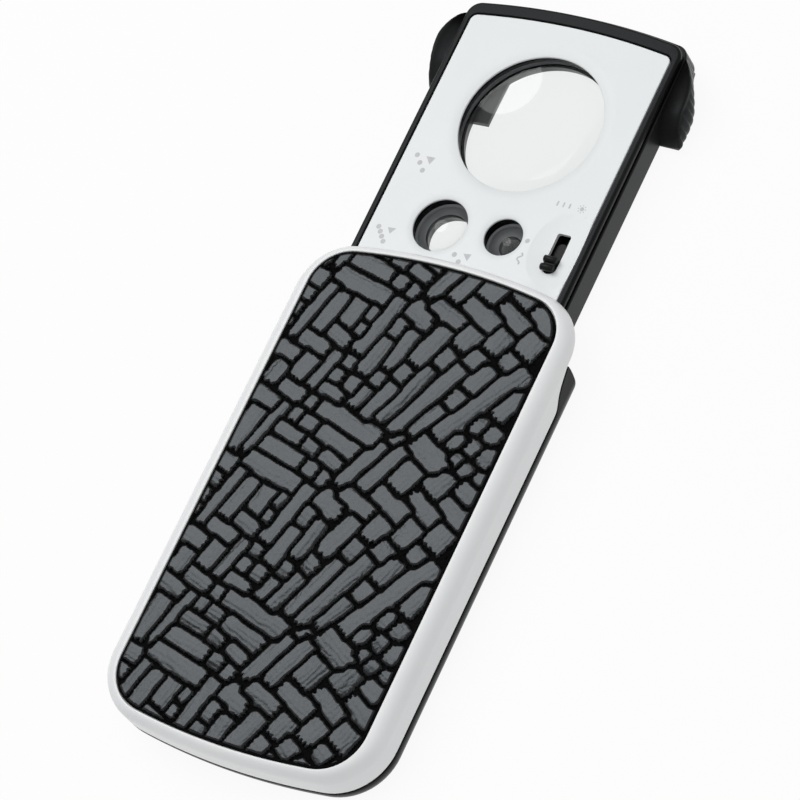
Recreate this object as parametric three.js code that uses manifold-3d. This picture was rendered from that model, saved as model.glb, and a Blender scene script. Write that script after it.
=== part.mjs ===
// Pull-out illuminated pocket magnifier: a sleeve, a slider with three lenses that pulls out of it,
// and a small slide switch. Millimetres. The magnifier lies on its back, +Z out of the lens face,
// +Y towards the end that pulls out, origin under the middle of its box. The slider is drawn part way out.
import * as THREE from "three";
import { mergeVertices } from "three/addons/utils/BufferGeometryUtils.js";
import Module from "manifold-3d";

const wasm = await Module();
wasm.setup();

// ---- Driving dimensions ----
const LENGTH = 160.4; // over the slider's head and the sleeve's far end
const TOP_END = LENGTH / 2; // far edge of the slider's lower case
const BOTTOM_END = -LENGTH / 2; // far end of the sleeve
const LENS_Y = TOP_END - 25.4; // centre of the largest lens

const CLEAR = 0.3; // gap between neighbouring pieces

// Sleeve
const SLEEVE = {
  half: 29.9, top: LENS_Y - 31.6, topRadius: 133, topCorner: 11,
  bottom: BOTTOM_END, bottomRadius: 140, bottomCorner: 11.5,
};
const SHELL_WALL = 1.7;
const BACK_FLOOR = 1.5; // thickness of the back shell's flat
const BACK_END = LENS_Y - 45; // where the back shell stops short of the visor
const BACK_ROUND = 5.2; // how far its underside stops short of its top
const PARTING_Z = 5.8;
const VISOR_Z = 9.5; // lower edge of the visor
const CAVITY_TOP = 10.4;
const RIM_TOP = 12.9;
const PANEL_FLOOR = 12.1;
const KNOB_CHANNEL = { half: 2.4, top: 11.6 }; // in the visor's roof, for the switch knob to pass under
const PANEL_TOP = 13.2;
const PANEL = {
  half: 26.67, top: LENS_Y - 33.75, topRadius: 130, topCorner: 8,
  bottom: LENS_Y - 132.99, bottomRadius: 139, bottomCorner: 8.8,
};
const TOP_FILLET = 2.9;
const BACK_FILLET = { height: 5.2, width: 6 };

// Slider
const TAIL_Y = LENS_Y - 79; // inner end of the slider
const LUG_TOP = TAIL_Y + 3.2; // lugs on the slider that meet the sleeve's stops when it is pulled right out
const CLOSING_TRAVEL = 48.6; // from the slider's drawn place back into the sleeve
const SPARE_PULL = 4; // how much further the slider pulls out than it is drawn
const STOP_Y = LUG_TOP + SPARE_PULL + CLEAR;
const CASE_BOTTOM = 1.9;
const CASE_FLOOR = 1.2;
const CASE_TOP = 7.4;
const CASE_WALL = 1.2;
const NECK_BOTTOM = CASE_TOP + CLEAR; // groove that the sleeve's guide ribs run in
const RAIL_BOTTOM = 8.7;
const PLATE_BOTTOM = 8.8;
const PLATE_TOP = 10;
const FRAME_FLOOR_TOP = PLATE_BOTTOM - CLEAR;
const CASE = {
  half: 23.4, top: TOP_END, topRadius: 144, topCorner: 3,
  bottom: TAIL_Y, bottomRadius: 2000, bottomCorner: 3,
};
const RAIL = { ...CASE, half: 23.6, top: TOP_END - 1.2, bottom: TAIL_Y + 0.2 };
const PLATE = {
  ...CASE, half: 22, top: LENS_Y + 21.3, topCorner: 1.5, bottom: TAIL_Y + 1.7, bottomCorner: 1.5,
};

// Lenses: centre, radius of the plate's opening, lens radius, thickness at the rim, rise of each face,
// width of the ledge under the rim, and radius of the window below
const LENSES = [
  {
    name: "lens_30x", x: 0.35, y: LENS_Y, opening: 14.63,
    radius: 15.9, rim: 1.8, rise: 1.5, ledge: 1.3, window: 14.6, segments: 40,
  },
  {
    name: "lens_60x", x: -7.79, y: LENS_Y - 24.5, opening: 5.55,
    radius: 6.2, rim: 1.3, rise: 1.2, ledge: 0.9, window: 3.6, segments: 20,
  },
  {
    name: "lens_90x", x: 5.77, y: LENS_Y - 23.73, opening: 3.9,
    radius: 4.5, rim: 1.1, rise: 1.1, ledge: 0.8, window: 1.6, segments: 20,
  },
];
const RIM_Z = 6.8; // upper face of every lens rim, and of its barrel
const BARREL_WALL = 1.1;
const COLLAR_BOTTOM = RIM_Z + CLEAR;

// Pull grips: [y from the largest lens, value] along the ridge between the smooth top and the ribbed side,
// along the side's widest line and along its foot
const GRIP_START = 5.2;
const GRIP_END = 21.4;
const GRIP_RIDGE_Z = [
  [5.2, 2.5], [6.6, 4.7], [9, 6.7], [12.5, 8.1], [16, 8.9], [18.5, 9.1], [19.8, 8.9], [20.6, 8.2], [21.4, 7],
];
const GRIP_RIDGE_X = [
  [5.2, 27.8], [9, 27.9], [13, 28.15], [15, 27.9], [17, 27.05], [19, 25.7], [20, 24.8], [21.4, 23.7],
];
const GRIP_WIDE_X = [
  [5.2, 28], [6.6, 28.55], [9, 29.4], [11, 29.7], [13, 29.2], [15, 28.3], [17, 27.2], [19, 25.85], [21.4, 23.8],
];
const GRIP_WIDE_Z = [
  [5.2, 2.2], [8.8, 4.1], [12, 5.7], [15, 7.2], [18, 8.2], [19.5, 8.2], [20.6, 7.6], [21.4, 6.6],
];
const GRIP_FOOT_X = [
  [5.2, 27.3], [8.8, 27.4], [12, 27], [15, 25.8], [18, 24.6], [20.3, 23.7], [21.4, 23.5],
];
const GRIP_STATIONS = 14;
const GRIP_ROOT = { lowerX: 22.4, upperX: 24.2 }; // inner corners, buried in the case wall
const LAMP_TAB = { edge: -10.9, bottom: LENS_Y + 0.2, top: LENS_Y + 9.6, height: 3.1 }; // in the largest barrel

// Switch: the slot in the plate and the knob, which is drawn at its lower position
const SLOT = { x: 17.5, width: 2.9, top: LENS_Y - 20.2, bottom: LENS_Y - 28.7 };
const KNOB_STEM = { width: 2.3, length: 2.9 };
const KNOB_TOP = 11.2;
const KNOB_RIB = 0.7;
const SHUTTER = { width: 2.2, length: 6.7, z: [7.95, 8.5] };
const KNOB_BOTTOM = 6.3;
const KNOB_RIB_PITCH = 1.7;
const HOUSING_TOP = 7.6;
const STEM_Y = SLOT.bottom + CLEAR + KNOB_STEM.length / 2;
const BOARD_BOTTOM = 4.4;
const BOARD_TOP = 5.4;

// Button cells and their door
const CELL = { radius: 5.8, height: 3, pitch: 12.6, y: LENS_Y - 41, z: 3.7 };
const DOOR = { half: 19.3, depth: 12.6, tabHalf: 2.6, tab: 3.7, top: 3.1 };
const DOOR_EDGE = CELL.y + DOOR.depth / 2;
const DOOR_SCREW = { x: 0, y: DOOR_EDGE + 1.4 };
const DOOR_SCREW_Z = 1.95;
const STRIP = 0.2; // thickness of the cell contacts
const LOW_STRIP_Z = 3.25;
const TOP_STRIP_Z = 7;
const BOARD_EDGE = LENS_Y - 34.2; // the board's edge beside the cells
const RESISTORS = [LENS_Y - 19.5, LENS_Y - 24.5].map((y) => ({ x: -18.6, y }));

// Lamps, which point down through the case
const LED_BOTTOM = 2;
const LED_TOP = 4.1;
const LED_HOLE = 1.8;
const LEDS = [
  { name: "white_led_left", x: -18.3, y: LENS_Y - 14.2 },
  { name: "white_led_right", x: 18.3, y: LENS_Y - 13.6 },
  { name: "uv_led", x: -18.3, y: LENS_Y - 30 },
];

// Fasteners
const SCREW = { head: 1.45, headHeight: 0.8, shank: 0.7 };
const SHELL_SCREWS = [-1, 1].flatMap((side) => [-53.5, -124].map((y) => ({ x: side * 26.9, y: LENS_Y + y })));
const CASE_SCREW_ROWS = [LENS_Y + 18.4, TAIL_Y + 4.7];
const CASE_SCREWS = [-1, 1].flatMap((side) => CASE_SCREW_ROWS.map((y) => ({ x: side * 19.4, y })));
const SHELL_SCREW_Z = 2.2;
const CASE_SCREW_Z = 2.1;
const CASE_POST_TOP = 4.7;
const FRAME_POST_BOTTOM = 5;

// ---- Materials ----
const plastic = (color, roughness) => new THREE.MeshStandardMaterial({ color, roughness, metalness: 0 });
const metal = (color, roughness) => new THREE.MeshStandardMaterial({ color, roughness, metalness: 1 });
const MATERIALS = {
  white: plastic(0xe9ebec, 0.35),
  black: plastic(0x17181a, 0.35),
  panel: plastic(0x101113, 0.2),
  glass: new THREE.MeshStandardMaterial({
    color: 0xe6f0f2, roughness: 0.02, metalness: 0, transparent: true, opacity: 0.4,
  }),
  board: plastic(0x1f5a35, 0.5),
  steel: metal(0xb9bcc0, 0.3),
  nickel: metal(0xd5d2c8, 0.25),
  led: plastic(0xf4f5ee, 0.1),
  resistor: plastic(0x202124, 0.6),
};

// ---- Helpers ----
const magnifier = new THREE.Group();

function piece(name, material, geometry) {
  const surface = geometry.isBufferGeometry ? geometry : toGeometry(geometry);
  const mesh = new THREE.Mesh(surface, MATERIALS[material]);
  mesh.name = name;
  magnifier.add(mesh);
  return mesh;
}

function toSolid(geometry) {
  const bare = geometry.clone();
  bare.deleteAttribute("normal");
  bare.deleteAttribute("uv");
  const merged = mergeVertices(bare, 1e-5);
  return new wasm.Manifold(new wasm.Mesh({
    numProp: 3,
    vertProperties: new Float32Array(merged.attributes.position.array),
    triVerts: new Uint32Array(merged.index.array),
  }));
}

function toGeometry(solid) {
  const { vertProperties, triVerts } = solid.getMesh();
  const geometry = new THREE.BufferGeometry();
  geometry.setAttribute("position", new THREE.BufferAttribute(vertProperties, 3));
  geometry.setIndex(new THREE.BufferAttribute(triVerts, 1));
  geometry.computeVertexNormals();
  return geometry;
}

const union = (...solids) => solids.reduce((sum, next) => sum.add(next));
const minus = (base, ...cuts) => cuts.reduce((sum, next) => sum.subtract(next), base);

function block([x0, x1], [y0, y1], [z0, z1]) {
  const box = new THREE.BoxGeometry(x1 - x0, y1 - y0, z1 - z0);
  box.translate((x0 + x1) / 2, (y0 + y1) / 2, (z0 + z1) / 2);
  return toSolid(box);
}

function disc({ x, y }, radius, [z0, z1], segments = 24) {
  const cylinder = new THREE.CylinderGeometry(radius, radius, z1 - z0, segments);
  cylinder.rotateX(Math.PI / 2);
  cylinder.translate(x, y, (z0 + z1) / 2);
  return toSolid(cylinder);
}

// A closed outline with straight sides, bowed ends and round corners, taken in by an inset
function outline({ half, top, topRadius, topCorner, bottom, bottomRadius, bottomCorner }, inset = 0) {
  const shape = new THREE.Shape();
  const side = half - inset;
  const end = (sign, edge, bow, corner) => {
    const radius = bow - inset;
    const small = Math.max(corner - inset, 0.4);
    const bowY = edge - sign * bow;
    const cornerX = side - small;
    const cornerY = bowY + sign * Math.sqrt((radius - small) ** 2 - cornerX ** 2);
    const angle = Math.atan2(cornerY - bowY, cornerX);
    const turn = sign > 0 ? 0 : Math.PI;
    const first = sign > 0 ? angle : Math.PI + Math.abs(angle);
    shape.absarc(sign * cornerX, cornerY, small, turn, first, false);
    const last = sign > 0 ? Math.PI - angle : 2 * Math.PI - Math.abs(angle);
    shape.absarc(0, bowY, radius, first, last, false);
    shape.absarc(-sign * cornerX, cornerY, small, last, turn + Math.PI, false);
  };
  end(1, top, topRadius, topCorner);
  end(-1, bottom, bottomRadius, bottomCorner);
  return shape;
}

function slab(shape, [z0, z1], segments = 3, bevel = null) {
  const thickness = bevel ? bevel.height : 0;
  const geometry = new THREE.ExtrudeGeometry(shape, {
    depth: z1 - z0 - 2 * thickness,
    curveSegments: segments,
    bevelEnabled: Boolean(bevel),
    bevelThickness: thickness,
    bevelSize: bevel ? bevel.width : 0,
    bevelOffset: bevel ? -bevel.width : 0,
    bevelSegments: bevel ? bevel.steps : 0,
  });
  geometry.translate(0, 0, z0 + thickness);
  return toSolid(geometry);
}

// A solid that runs along X and has the given outline of [y, z] points
function runAcross(points, [x0, x1]) {
  const shape = new THREE.Shape(points.map(([y, z]) => new THREE.Vector2(y, z)));
  const geometry = new THREE.ExtrudeGeometry(shape, { depth: x1 - x0, bevelEnabled: false });
  // The outline's own x and y become Y and Z, and its depth becomes X
  geometry.applyMatrix4(new THREE.Matrix4().set(0, 0, 1, x0, 1, 0, 0, 0, 0, 1, 0, 0, 0, 0, 0, 1));
  return toSolid(geometry);
}

// A closed solid through equal rings of points, with flat ends
function loft(rings) {
  const count = rings[0].length;
  const triangles = [];
  const quad = (a, b, c, d) => triangles.push(a, b, c, a, c, d);
  for (let ring = 0; ring + 1 < rings.length; ring += 1) {
    for (let i = 0; i < count; i += 1) {
      const next = (i + 1) % count;
      quad(ring * count + i, ring * count + next, (ring + 1) * count + next, (ring + 1) * count + i);
    }
  }
  const last = (rings.length - 1) * count;
  for (let i = 1; i + 1 < count; i += 1) {
    triangles.push(0, i + 1, i);
    triangles.push(last, last + i, last + i + 1);
  }
  const geometry = new THREE.BufferGeometry();
  geometry.setAttribute("position", new THREE.Float32BufferAttribute(rings.flat(2), 3));
  geometry.setIndex(triangles);
  return geometry;
}

function lathe(profile, { x, y }, z, segments = 24) {
  const geometry = new THREE.LatheGeometry(profile.map(([r, h]) => new THREE.Vector2(r, h)), segments);
  geometry.rotateX(Math.PI / 2);
  geometry.translate(x, y, z);
  return toSolid(geometry);
}

// The value at a place between given [place, value] pairs
function between(pairs, at) {
  const next = Math.min(Math.max(pairs.findIndex(([p]) => p >= at), 1), pairs.length - 1);
  const [p0, v0] = pairs[next - 1];
  const [p1, v1] = pairs[next];
  return v0 + ((v1 - v0) * (at - p0)) / (p1 - p0);
}

// A pan-head screw: the head at the bottom from z, the shank rising from it
function screw({ x, y }, z, length) {
  const { head, headHeight, shank } = SCREW;
  return lathe([
    [0, 0], [head - 0.3, 0], [head, 0.3], [head, headHeight],
    [shank, headHeight], [shank, length - 0.6], [0, length],
  ], { x, y }, z, 12);
}

// ---- Sleeve ----

// Everything below the line where the white and black halves part, moved up by a lift.
// The line rises near the mouth, so that the slider's grips fit under the visor.
function belowParting(lift) {
  const rise = [
    [-53.6, PARTING_Z], [-52.2, PARTING_Z + 0.5], [-51.2, PARTING_Z + 1.4], [-49.6, PARTING_Z + 2.3],
    [-47.4, PARTING_Z + 3], [-45, VISOR_Z - 0.2],
  ].map(([y, z]) => [LENS_Y + y, z + lift]);
  const start = BOTTOM_END - 5;
  const end = SLEEVE.top + 20;
  return runAcross([
    [start, -5], [end, -5], [end, VISOR_Z + lift], ...rise.reverse(), [start, PARTING_Z + lift],
  ], [-40, 40]);
}

function frontShell() {
  const outer = slab(outline(SLEEVE), [-2, RIM_TOP], 4, { height: TOP_FILLET, width: TOP_FILLET, steps: 4 });
  const cavity = slab(outline(SLEEVE, SHELL_WALL), [-4, CAVITY_TOP], 4);
  const mouth = block([-24, 24], [BACK_END - 10, SLEEVE.top + 10], [-4, CAVITY_TOP]);
  const recess = slab(outline(PANEL, -CLEAR), [PANEL_FLOOR, 20], 4);
  const ribs = [-1, 1].map((side) => block(
    [side > 0 ? 23.2 : -28.5, side > 0 ? 28.5 : -23.2],
    [LENS_Y - 122, BACK_END - 2],
    [NECK_BOTTOM + 0.25, RAIL_BOTTOM - 0.25],
  ));
  const bosses = SHELL_SCREWS.map((at) => disc(at, 1.7, [-1, CAVITY_TOP + 0.5], 12));
  const knobChannel = block(
    [SLOT.x - KNOB_CHANNEL.half, SLOT.x + KNOB_CHANNEL.half],
    [STEM_Y - CLOSING_TRAVEL - 3, SLEEVE.top + 10],
    [CAVITY_TOP - 1, KNOB_CHANNEL.top],
  );
  const hollow = minus(outer, cavity, mouth, recess, knobChannel);
  const filled = union(hollow, ...ribs, ...bosses.map((boss) => boss.intersect(outer)));
  const holes = SHELL_SCREWS.map((at) => disc(at, SCREW.shank + CLEAR, [-2, 10.2], 10));
  return minus(filled, ...holes, belowParting(CLEAR / 2));
}

function leatherPanel() {
  return slab(outline(PANEL), [PANEL_FLOOR + CLEAR, PANEL_TOP], 4, { height: 0.4, width: 0.4, steps: 2 });
}

// Everything behind the back shell's open end, which is rounded when seen from the side
function roundEnd() {
  const steps = 8;
  const arc = Array.from({ length: steps + 1 }, (_, i) => {
    const angle = (Math.PI / 2) * (i / steps);
    return [BACK_END - BACK_ROUND * (1 - Math.cos(angle)), VISOR_Z - VISOR_Z * Math.sin(angle)];
  });
  return runAcross([
    [BOTTOM_END - 5, -5], [BACK_END - BACK_ROUND, -5], ...arc.reverse(), [BACK_END, 20], [BOTTOM_END - 5, 20],
  ], [-40, 40]);
}

function backShell() {
  const outer = slab(outline(SLEEVE), [0, 24], 4, { ...BACK_FILLET, steps: 4 });
  const cavity = slab(outline(SLEEVE, SHELL_WALL), [BACK_FLOOR, 26], 4, { height: 4, width: 4.3, steps: 3 });
  const stops = [-1, 1].map((side) => block(
    side > 0 ? [23.8, 28.6] : [-28.6, -23.8],
    [STOP_Y, STOP_Y + 2],
    [BACK_FLOOR - 0.5, PARTING_Z + 1],
  ).intersect(outer));
  const bosses = SHELL_SCREWS.map((at) => disc(at, 1.7, [0.5, 12], 16).intersect(outer));
  const filled = union(minus(outer, cavity), ...stops, ...bosses);
  const holes = SHELL_SCREWS.flatMap((at) => [
    disc(at, SCREW.shank + CLEAR, [-1, 12], 12),
    disc(at, SCREW.head + CLEAR, [-1, SHELL_SCREW_Z + SCREW.headHeight + CLEAR], 16),
  ]);
  return minus(filled.intersect(belowParting(-CLEAR / 2)).intersect(roundEnd()), ...holes);
}

// A bent strip that bears on the slider's side
function detentSpring(side) {
  const path = [
    [27.2, -68.6], [26.9, -66.5], [24.6, -63.8], [24, -62.6], [24.6, -61.4], [26.9, -58.7], [27.2, -56.6],
  ];
  const thickness = 0.3;
  const inner = path.map(([x, y]) => new THREE.Vector2(side * (x - thickness), LENS_Y + y));
  const outer = path.map(([x, y]) => new THREE.Vector2(side * x, LENS_Y + y)).reverse();
  return slab(new THREE.Shape([...inner, ...outer]), [3.8, 5.4]);
}

// ---- Slider ----

function barrelTools(lens) {
  const { radius, rim, rise, ledge, window, segments } = lens;
  const bore = radius + CLEAR;
  const seatZ = RIM_Z - rim - CLEAR;
  return {
    wall: disc(lens, bore + BARREL_WALL, [CASE_BOTTOM, RIM_Z], segments),
    steps: [
      disc(lens, bore, [seatZ, 20], segments),
      disc(lens, radius - ledge, [seatZ - rise, 20], segments),
      disc(lens, window, [-5, 20], segments),
    ],
  };
}

function grip(side) {
  const rings = [];
  for (let i = 0; i <= GRIP_STATIONS; i += 1) {
    const y = GRIP_START + ((GRIP_END - GRIP_START) * i) / GRIP_STATIONS;
    const ridgeX = between(GRIP_RIDGE_X, y);
    const ridgeZ = between(GRIP_RIDGE_Z, y);
    const wideX = between(GRIP_WIDE_X, y);
    const wideZ = Math.min(between(GRIP_WIDE_Z, y), ridgeZ - 0.2);
    const footX = between(GRIP_FOOT_X, y);
    const innerX = Math.min(GRIP_ROOT.lowerX, footX - 1.5);
    const rootX = Math.min(GRIP_ROOT.upperX, ridgeX - 0.5);
    const rootZ = Math.min(CASE_TOP - 0.2, ridgeZ - 0.35);
    const ring = [
      [innerX, CASE_BOTTOM], [footX, CASE_BOTTOM],
      [footX + (wideX - footX) * 0.7, CASE_BOTTOM + (wideZ - CASE_BOTTOM) * 0.4],
      [wideX, wideZ], [ridgeX, ridgeZ], [rootX, rootZ], [innerX, rootZ],
    ].map(([x, z]) => [side * x, LENS_Y + y, z]);
    rings.push(side > 0 ? ring.reverse() : ring);
  }
  return toSolid(loft(rings));
}

function lowerCase() {
  const outer = slab(outline(CASE), [CASE_BOTTOM, CASE_TOP], 3);
  const inside = slab(outline(CASE, CASE_WALL), [CASE_BOTTOM + CASE_FLOOR, 20], 3);
  const barrels = LENSES.map(barrelTools);
  const posts = CASE_SCREWS.map((at) => disc(at, 2.3, [CASE_BOTTOM, CASE_POST_TOP], 16));
  const lugs = [-1, 1].map((side) => block(
    side > 0 ? [23, 24.7] : [-24.7, -23],
    [LUG_TOP - 2.2, LUG_TOP],
    [3.2, 5.4],
  ));
  const cellWall = block([-DOOR.half - 1.5, DOOR.half + 1.5], [CELL.y - 8, CELL.y - 7], [CASE_BOTTOM, 6.8]);
  const doorSeat = block(
    [-4.2, 4.2], [DOOR_EDGE, DOOR_EDGE + DOOR.tab + 1], [CASE_BOTTOM, BOARD_BOTTOM - CLEAR],
  );
  const walls = barrels.map(({ wall }) => wall);
  const body = union(
    minus(outer, inside), grip(1), grip(-1), cellWall, doorSeat, ...walls, ...posts, ...lugs,
  );
  const doorway = block([-DOOR.half, DOOR.half], [CELL.y - DOOR.depth / 2, DOOR_EDGE], [-5, 3.5]);
  const tabway = block(
    [-DOOR.tabHalf - CLEAR, DOOR.tabHalf + CLEAR],
    [DOOR_EDGE - 1, DOOR_EDGE + DOOR.tab + CLEAR],
    [-5, DOOR.top + CLEAR],
  );
  const doorScrewHole = disc(DOOR_SCREW, SCREW.shank + CLEAR, [-5, 4.3], 10);
  const leds = LEDS.map((at) => disc(at, LED_HOLE, [-5, 3.5], 16));
  const screwHoles = CASE_SCREWS.flatMap((at) => [
    disc(at, SCREW.shank + CLEAR, [-5, 5], 12),
    disc(at, SCREW.head + CLEAR, [-5, CASE_SCREW_Z + SCREW.headHeight + CLEAR], 16),
  ]);
  const bores = barrels.flatMap(({ steps }) => steps);
  const opened = minus(body, ...bores, doorway, tabway, doorScrewHole, ...leds, ...screwHoles);
  const [largest] = LENSES;
  const { edge, bottom, top, height } = LAMP_TAB;
  const tab = block([largest.x - largest.radius, edge], [bottom, top], [CASE_BOTTOM, height]);
  return union(opened, tab.intersect(disc(largest, largest.window + 0.5, [0, height + 1], largest.segments)));
}

function upperFrame() {
  const rail = slab(outline(RAIL), [RAIL_BOTTOM, PLATE_TOP], 3, { height: 0.45, width: 0.45, steps: 2 });
  const neck = slab(outline(RAIL, 0.7), [NECK_BOTTOM, RAIL_BOTTOM + 0.6], 3);
  const recess = slab(outline(PLATE, -CLEAR), [FRAME_FLOOR_TOP, 20], 3);
  const around = (lens, radius, heights) => disc(lens, radius, heights, lens.segments);
  const collars = LENSES.map((lens) => around(lens, lens.radius + 0.2, [COLLAR_BOTTOM, FRAME_FLOOR_TOP]));
  const openings = LENSES.map((lens) => around(lens, lens.opening + 0.25, [-5, 20]));
  const posts = CASE_SCREWS.map((at) => disc(at, 2, [FRAME_POST_BOTTOM, NECK_BOTTOM + 0.3], 16));
  const holes = CASE_SCREWS.map((at) => disc(at, SCREW.shank + CLEAR, [4, 7.9], 12));
  const switchWay = block([SLOT.x - 3.2, SLOT.x + 3.2], [SLOT.bottom - 3.5, SLOT.top + 4.2], [-5, 20]);
  const tray = minus(union(rail, neck), recess);
  return minus(union(tray, ...collars, ...posts), ...openings, ...holes, switchWay);
}

function slotShape() {
  const half = SLOT.width / 2;
  const shape = new THREE.Shape();
  shape.moveTo(SLOT.x + half, SLOT.top);
  shape.lineTo(SLOT.x - half, SLOT.top);
  shape.absarc(SLOT.x, SLOT.bottom + half, half, Math.PI, 2 * Math.PI, false);
  return shape;
}

// A shallow oval hollow in the plate round the switch, for the thumb
function thumbHollow() {
  const ball = new THREE.SphereGeometry(1, 32, 24);
  ball.scale(10.5, 13.3, 4);
  ball.translate(18.2, LENS_Y - 23.8, PLATE_TOP + 3.2);
  return toSolid(ball);
}

function faceplate() {
  const plate = slab(outline(PLATE), [PLATE_BOTTOM, PLATE_TOP], 4);
  const openings = LENSES.map((lens) => disc(lens, lens.opening, [-5, 20], lens.opening > 10 ? 48 : 28));
  return minus(plate, ...openings, slab(slotShape(), [-5, 20], 4), thumbHollow());
}

function lensBody({ x, y, radius, rim, rise, segments }) {
  const steps = 4;
  const edge = radius - 0.6; // where the flat rim starts
  const dome = Array.from({ length: steps }, (_, i) => [(edge * i) / steps, rise * (1 - (i / steps) ** 2)]);
  const below = dome.map(([r, h]) => [r, -rim - h]);
  const above = dome.reverse();
  const profile = [...below, [edge, -rim], [radius, -rim], [radius, 0], [edge, 0], ...above];
  return lathe(profile, { x, y }, RIM_Z, segments);
}

function circuitBoard() {
  const shape = new THREE.Shape([
    new THREE.Vector2(-21.4, BOARD_EDGE), new THREE.Vector2(21.4, BOARD_EDGE),
    new THREE.Vector2(21.4, LENS_Y - 10), new THREE.Vector2(-21.4, LENS_Y - 10),
  ]);
  const clearances = LENSES.map((lens) => disc(lens, lens.radius + CLEAR + BARREL_WALL + CLEAR, [0, 20], 40));
  const middle = new THREE.Shape(LENSES.map(({ x, y }) => new THREE.Vector2(x, y)));
  return minus(slab(shape, [BOARD_BOTTOM, BOARD_TOP]), ...clearances, slab(middle, [0, 20]));
}

function switchHousing() {
  const heights = [BOARD_TOP + CLEAR, HOUSING_TOP];
  const outer = block([SLOT.x - 2.7, SLOT.x + 2.7], [SLOT.bottom - 2.4, SLOT.top + 2.4], heights);
  const track = block([SLOT.x - 1.5, SLOT.x + 1.5], [SLOT.bottom - 1.2, SLOT.top + 1.2], [0, 20]);
  return minus(outer, track);
}

function switchKnob() {
  const half = KNOB_STEM.width / 2;
  const stemEnd = { x: SLOT.x, y: STEM_Y - KNOB_STEM.length / 2 + half };
  const stemHeights = [KNOB_BOTTOM, KNOB_TOP - KNOB_RIB];
  const stem = union(
    block([SLOT.x - half, SLOT.x + half], [stemEnd.y, STEM_Y + KNOB_STEM.length / 2], stemHeights),
    disc(stemEnd, half, stemHeights, 16),
  );
  const shutterHalf = SHUTTER.width / 2;
  const shutterEnd = { x: SLOT.x, y: SLOT.bottom + CLEAR + SHUTTER.length - shutterHalf };
  const shutter = union(
    block([SLOT.x - shutterHalf, SLOT.x + shutterHalf], [stemEnd.y, shutterEnd.y], SHUTTER.z),
    disc(shutterEnd, shutterHalf, SHUTTER.z, 16),
  );
  const ribs = [-1, 1].map((step) => {
    const bar = new THREE.CylinderGeometry(KNOB_RIB, KNOB_RIB, SLOT.width - 0.2, 12);
    bar.rotateZ(Math.PI / 2);
    bar.translate(SLOT.x, STEM_Y + (step * KNOB_RIB_PITCH) / 2, KNOB_TOP - KNOB_RIB);
    return toSolid(bar);
  });
  return union(stem, shutter, ...ribs);
}

function switchWiper() {
  const heights = [BOARD_TOP + CLEAR, KNOB_BOTTOM - CLEAR];
  return block([SLOT.x - 1.1, SLOT.x + 1.1], [STEM_Y - 1.6, STEM_Y + 1.6], heights);
}

function ledBody(at) {
  const height = LED_TOP - LED_BOTTOM;
  return lathe([
    [0, 0], [0.6, 0.1], [1.1, 0.45], [1.4, 1], [1.4, 1.4], [1.9, 1.4], [1.9, height], [0, height],
  ], at, LED_BOTTOM, 12);
}

function resistor({ x, y }) {
  const bodyBlock = block([x - 0.8, x + 0.8], [y - 1.4, y + 1.4], [BOARD_TOP + 0.2, BOARD_TOP + 0.8]);
  const caps = [-1, 1].map((end) => block(
    [x - 0.85, x + 0.85],
    end > 0 ? [y + 1.2, y + 1.7] : [y - 1.7, y - 1.2],
    [BOARD_TOP + 0.15, BOARD_TOP + 0.85],
  ));
  return union(bodyBlock, ...caps);
}

function buttonCell(x) {
  const { radius, height, y, z } = CELL;
  return lathe([
    [0, 0], [radius - 0.3, 0], [radius, 0.3], [radius, height - 0.7], [radius - 0.5, height - 0.3],
    [radius - 1.1, height - 0.3], [radius - 1.1, height], [0, height],
  ], { x, y }, z, 24);
}

function batteryDoor() {
  const leaf = block(
    [-DOOR.half + CLEAR, DOOR.half - CLEAR],
    [CELL.y - DOOR.depth / 2 + CLEAR, DOOR_EDGE - CLEAR],
    [CASE_BOTTOM, DOOR.top],
  );
  const tab = block(
    [-DOOR.tabHalf, DOOR.tabHalf], [DOOR_EDGE - 1, DOOR_EDGE + DOOR.tab], [CASE_BOTTOM, DOOR.top],
  );
  const grooves = [0, 1, 2, 3].map((i) => block(
    [10.5 + i * 1.6, 11.3 + i * 1.6], [CELL.y - 3.5, CELL.y + 3.5], [0, CASE_BOTTOM + 0.35],
  ));
  return minus(
    union(leaf, tab), ...grooves, disc(DOOR_SCREW, SCREW.shank + CLEAR, [0, 10], 10),
    disc(DOOR_SCREW, SCREW.head + CLEAR, [0, DOOR_SCREW_Z + SCREW.headHeight], 16),
  );
}

// Strips that join the cells in a row and lead to the board
function cellBridge([x0, x1], z) {
  return block([x0, x1], [CELL.y - 2.2, CELL.y + 2.2], [z, z + STRIP]);
}

function contactPositive() {
  const pad = block([8, 17], [CELL.y - 2.2, CELL.y + 2.2], [TOP_STRIP_Z, TOP_STRIP_Z + STRIP]);
  const arm = block([11.6, 13.6], [CELL.y + 2, BOARD_EDGE + 1.4], [TOP_STRIP_Z, TOP_STRIP_Z + STRIP]);
  const footHeights = [BOARD_TOP + 0.2, TOP_STRIP_Z + STRIP];
  const foot = block([11.6, 13.6], [BOARD_EDGE + 1, BOARD_EDGE + 1.4], footHeights);
  return union(pad, arm, foot);
}

function contactNegative() {
  const pad = block([-19, -8], [CELL.y - 2.2, CELL.y + 2.2], [LOW_STRIP_Z, LOW_STRIP_Z + STRIP]);
  const arm = block([-19, -17.6], [CELL.y + 2, BOARD_EDGE + 1.4], [LOW_STRIP_Z, LOW_STRIP_Z + STRIP]);
  const foot = block([-19, -17.6], [BOARD_EDGE + 1, BOARD_EDGE + 1.4], [LOW_STRIP_Z, BOARD_BOTTOM - 0.2]);
  return union(pad, arm, foot);
}

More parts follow.
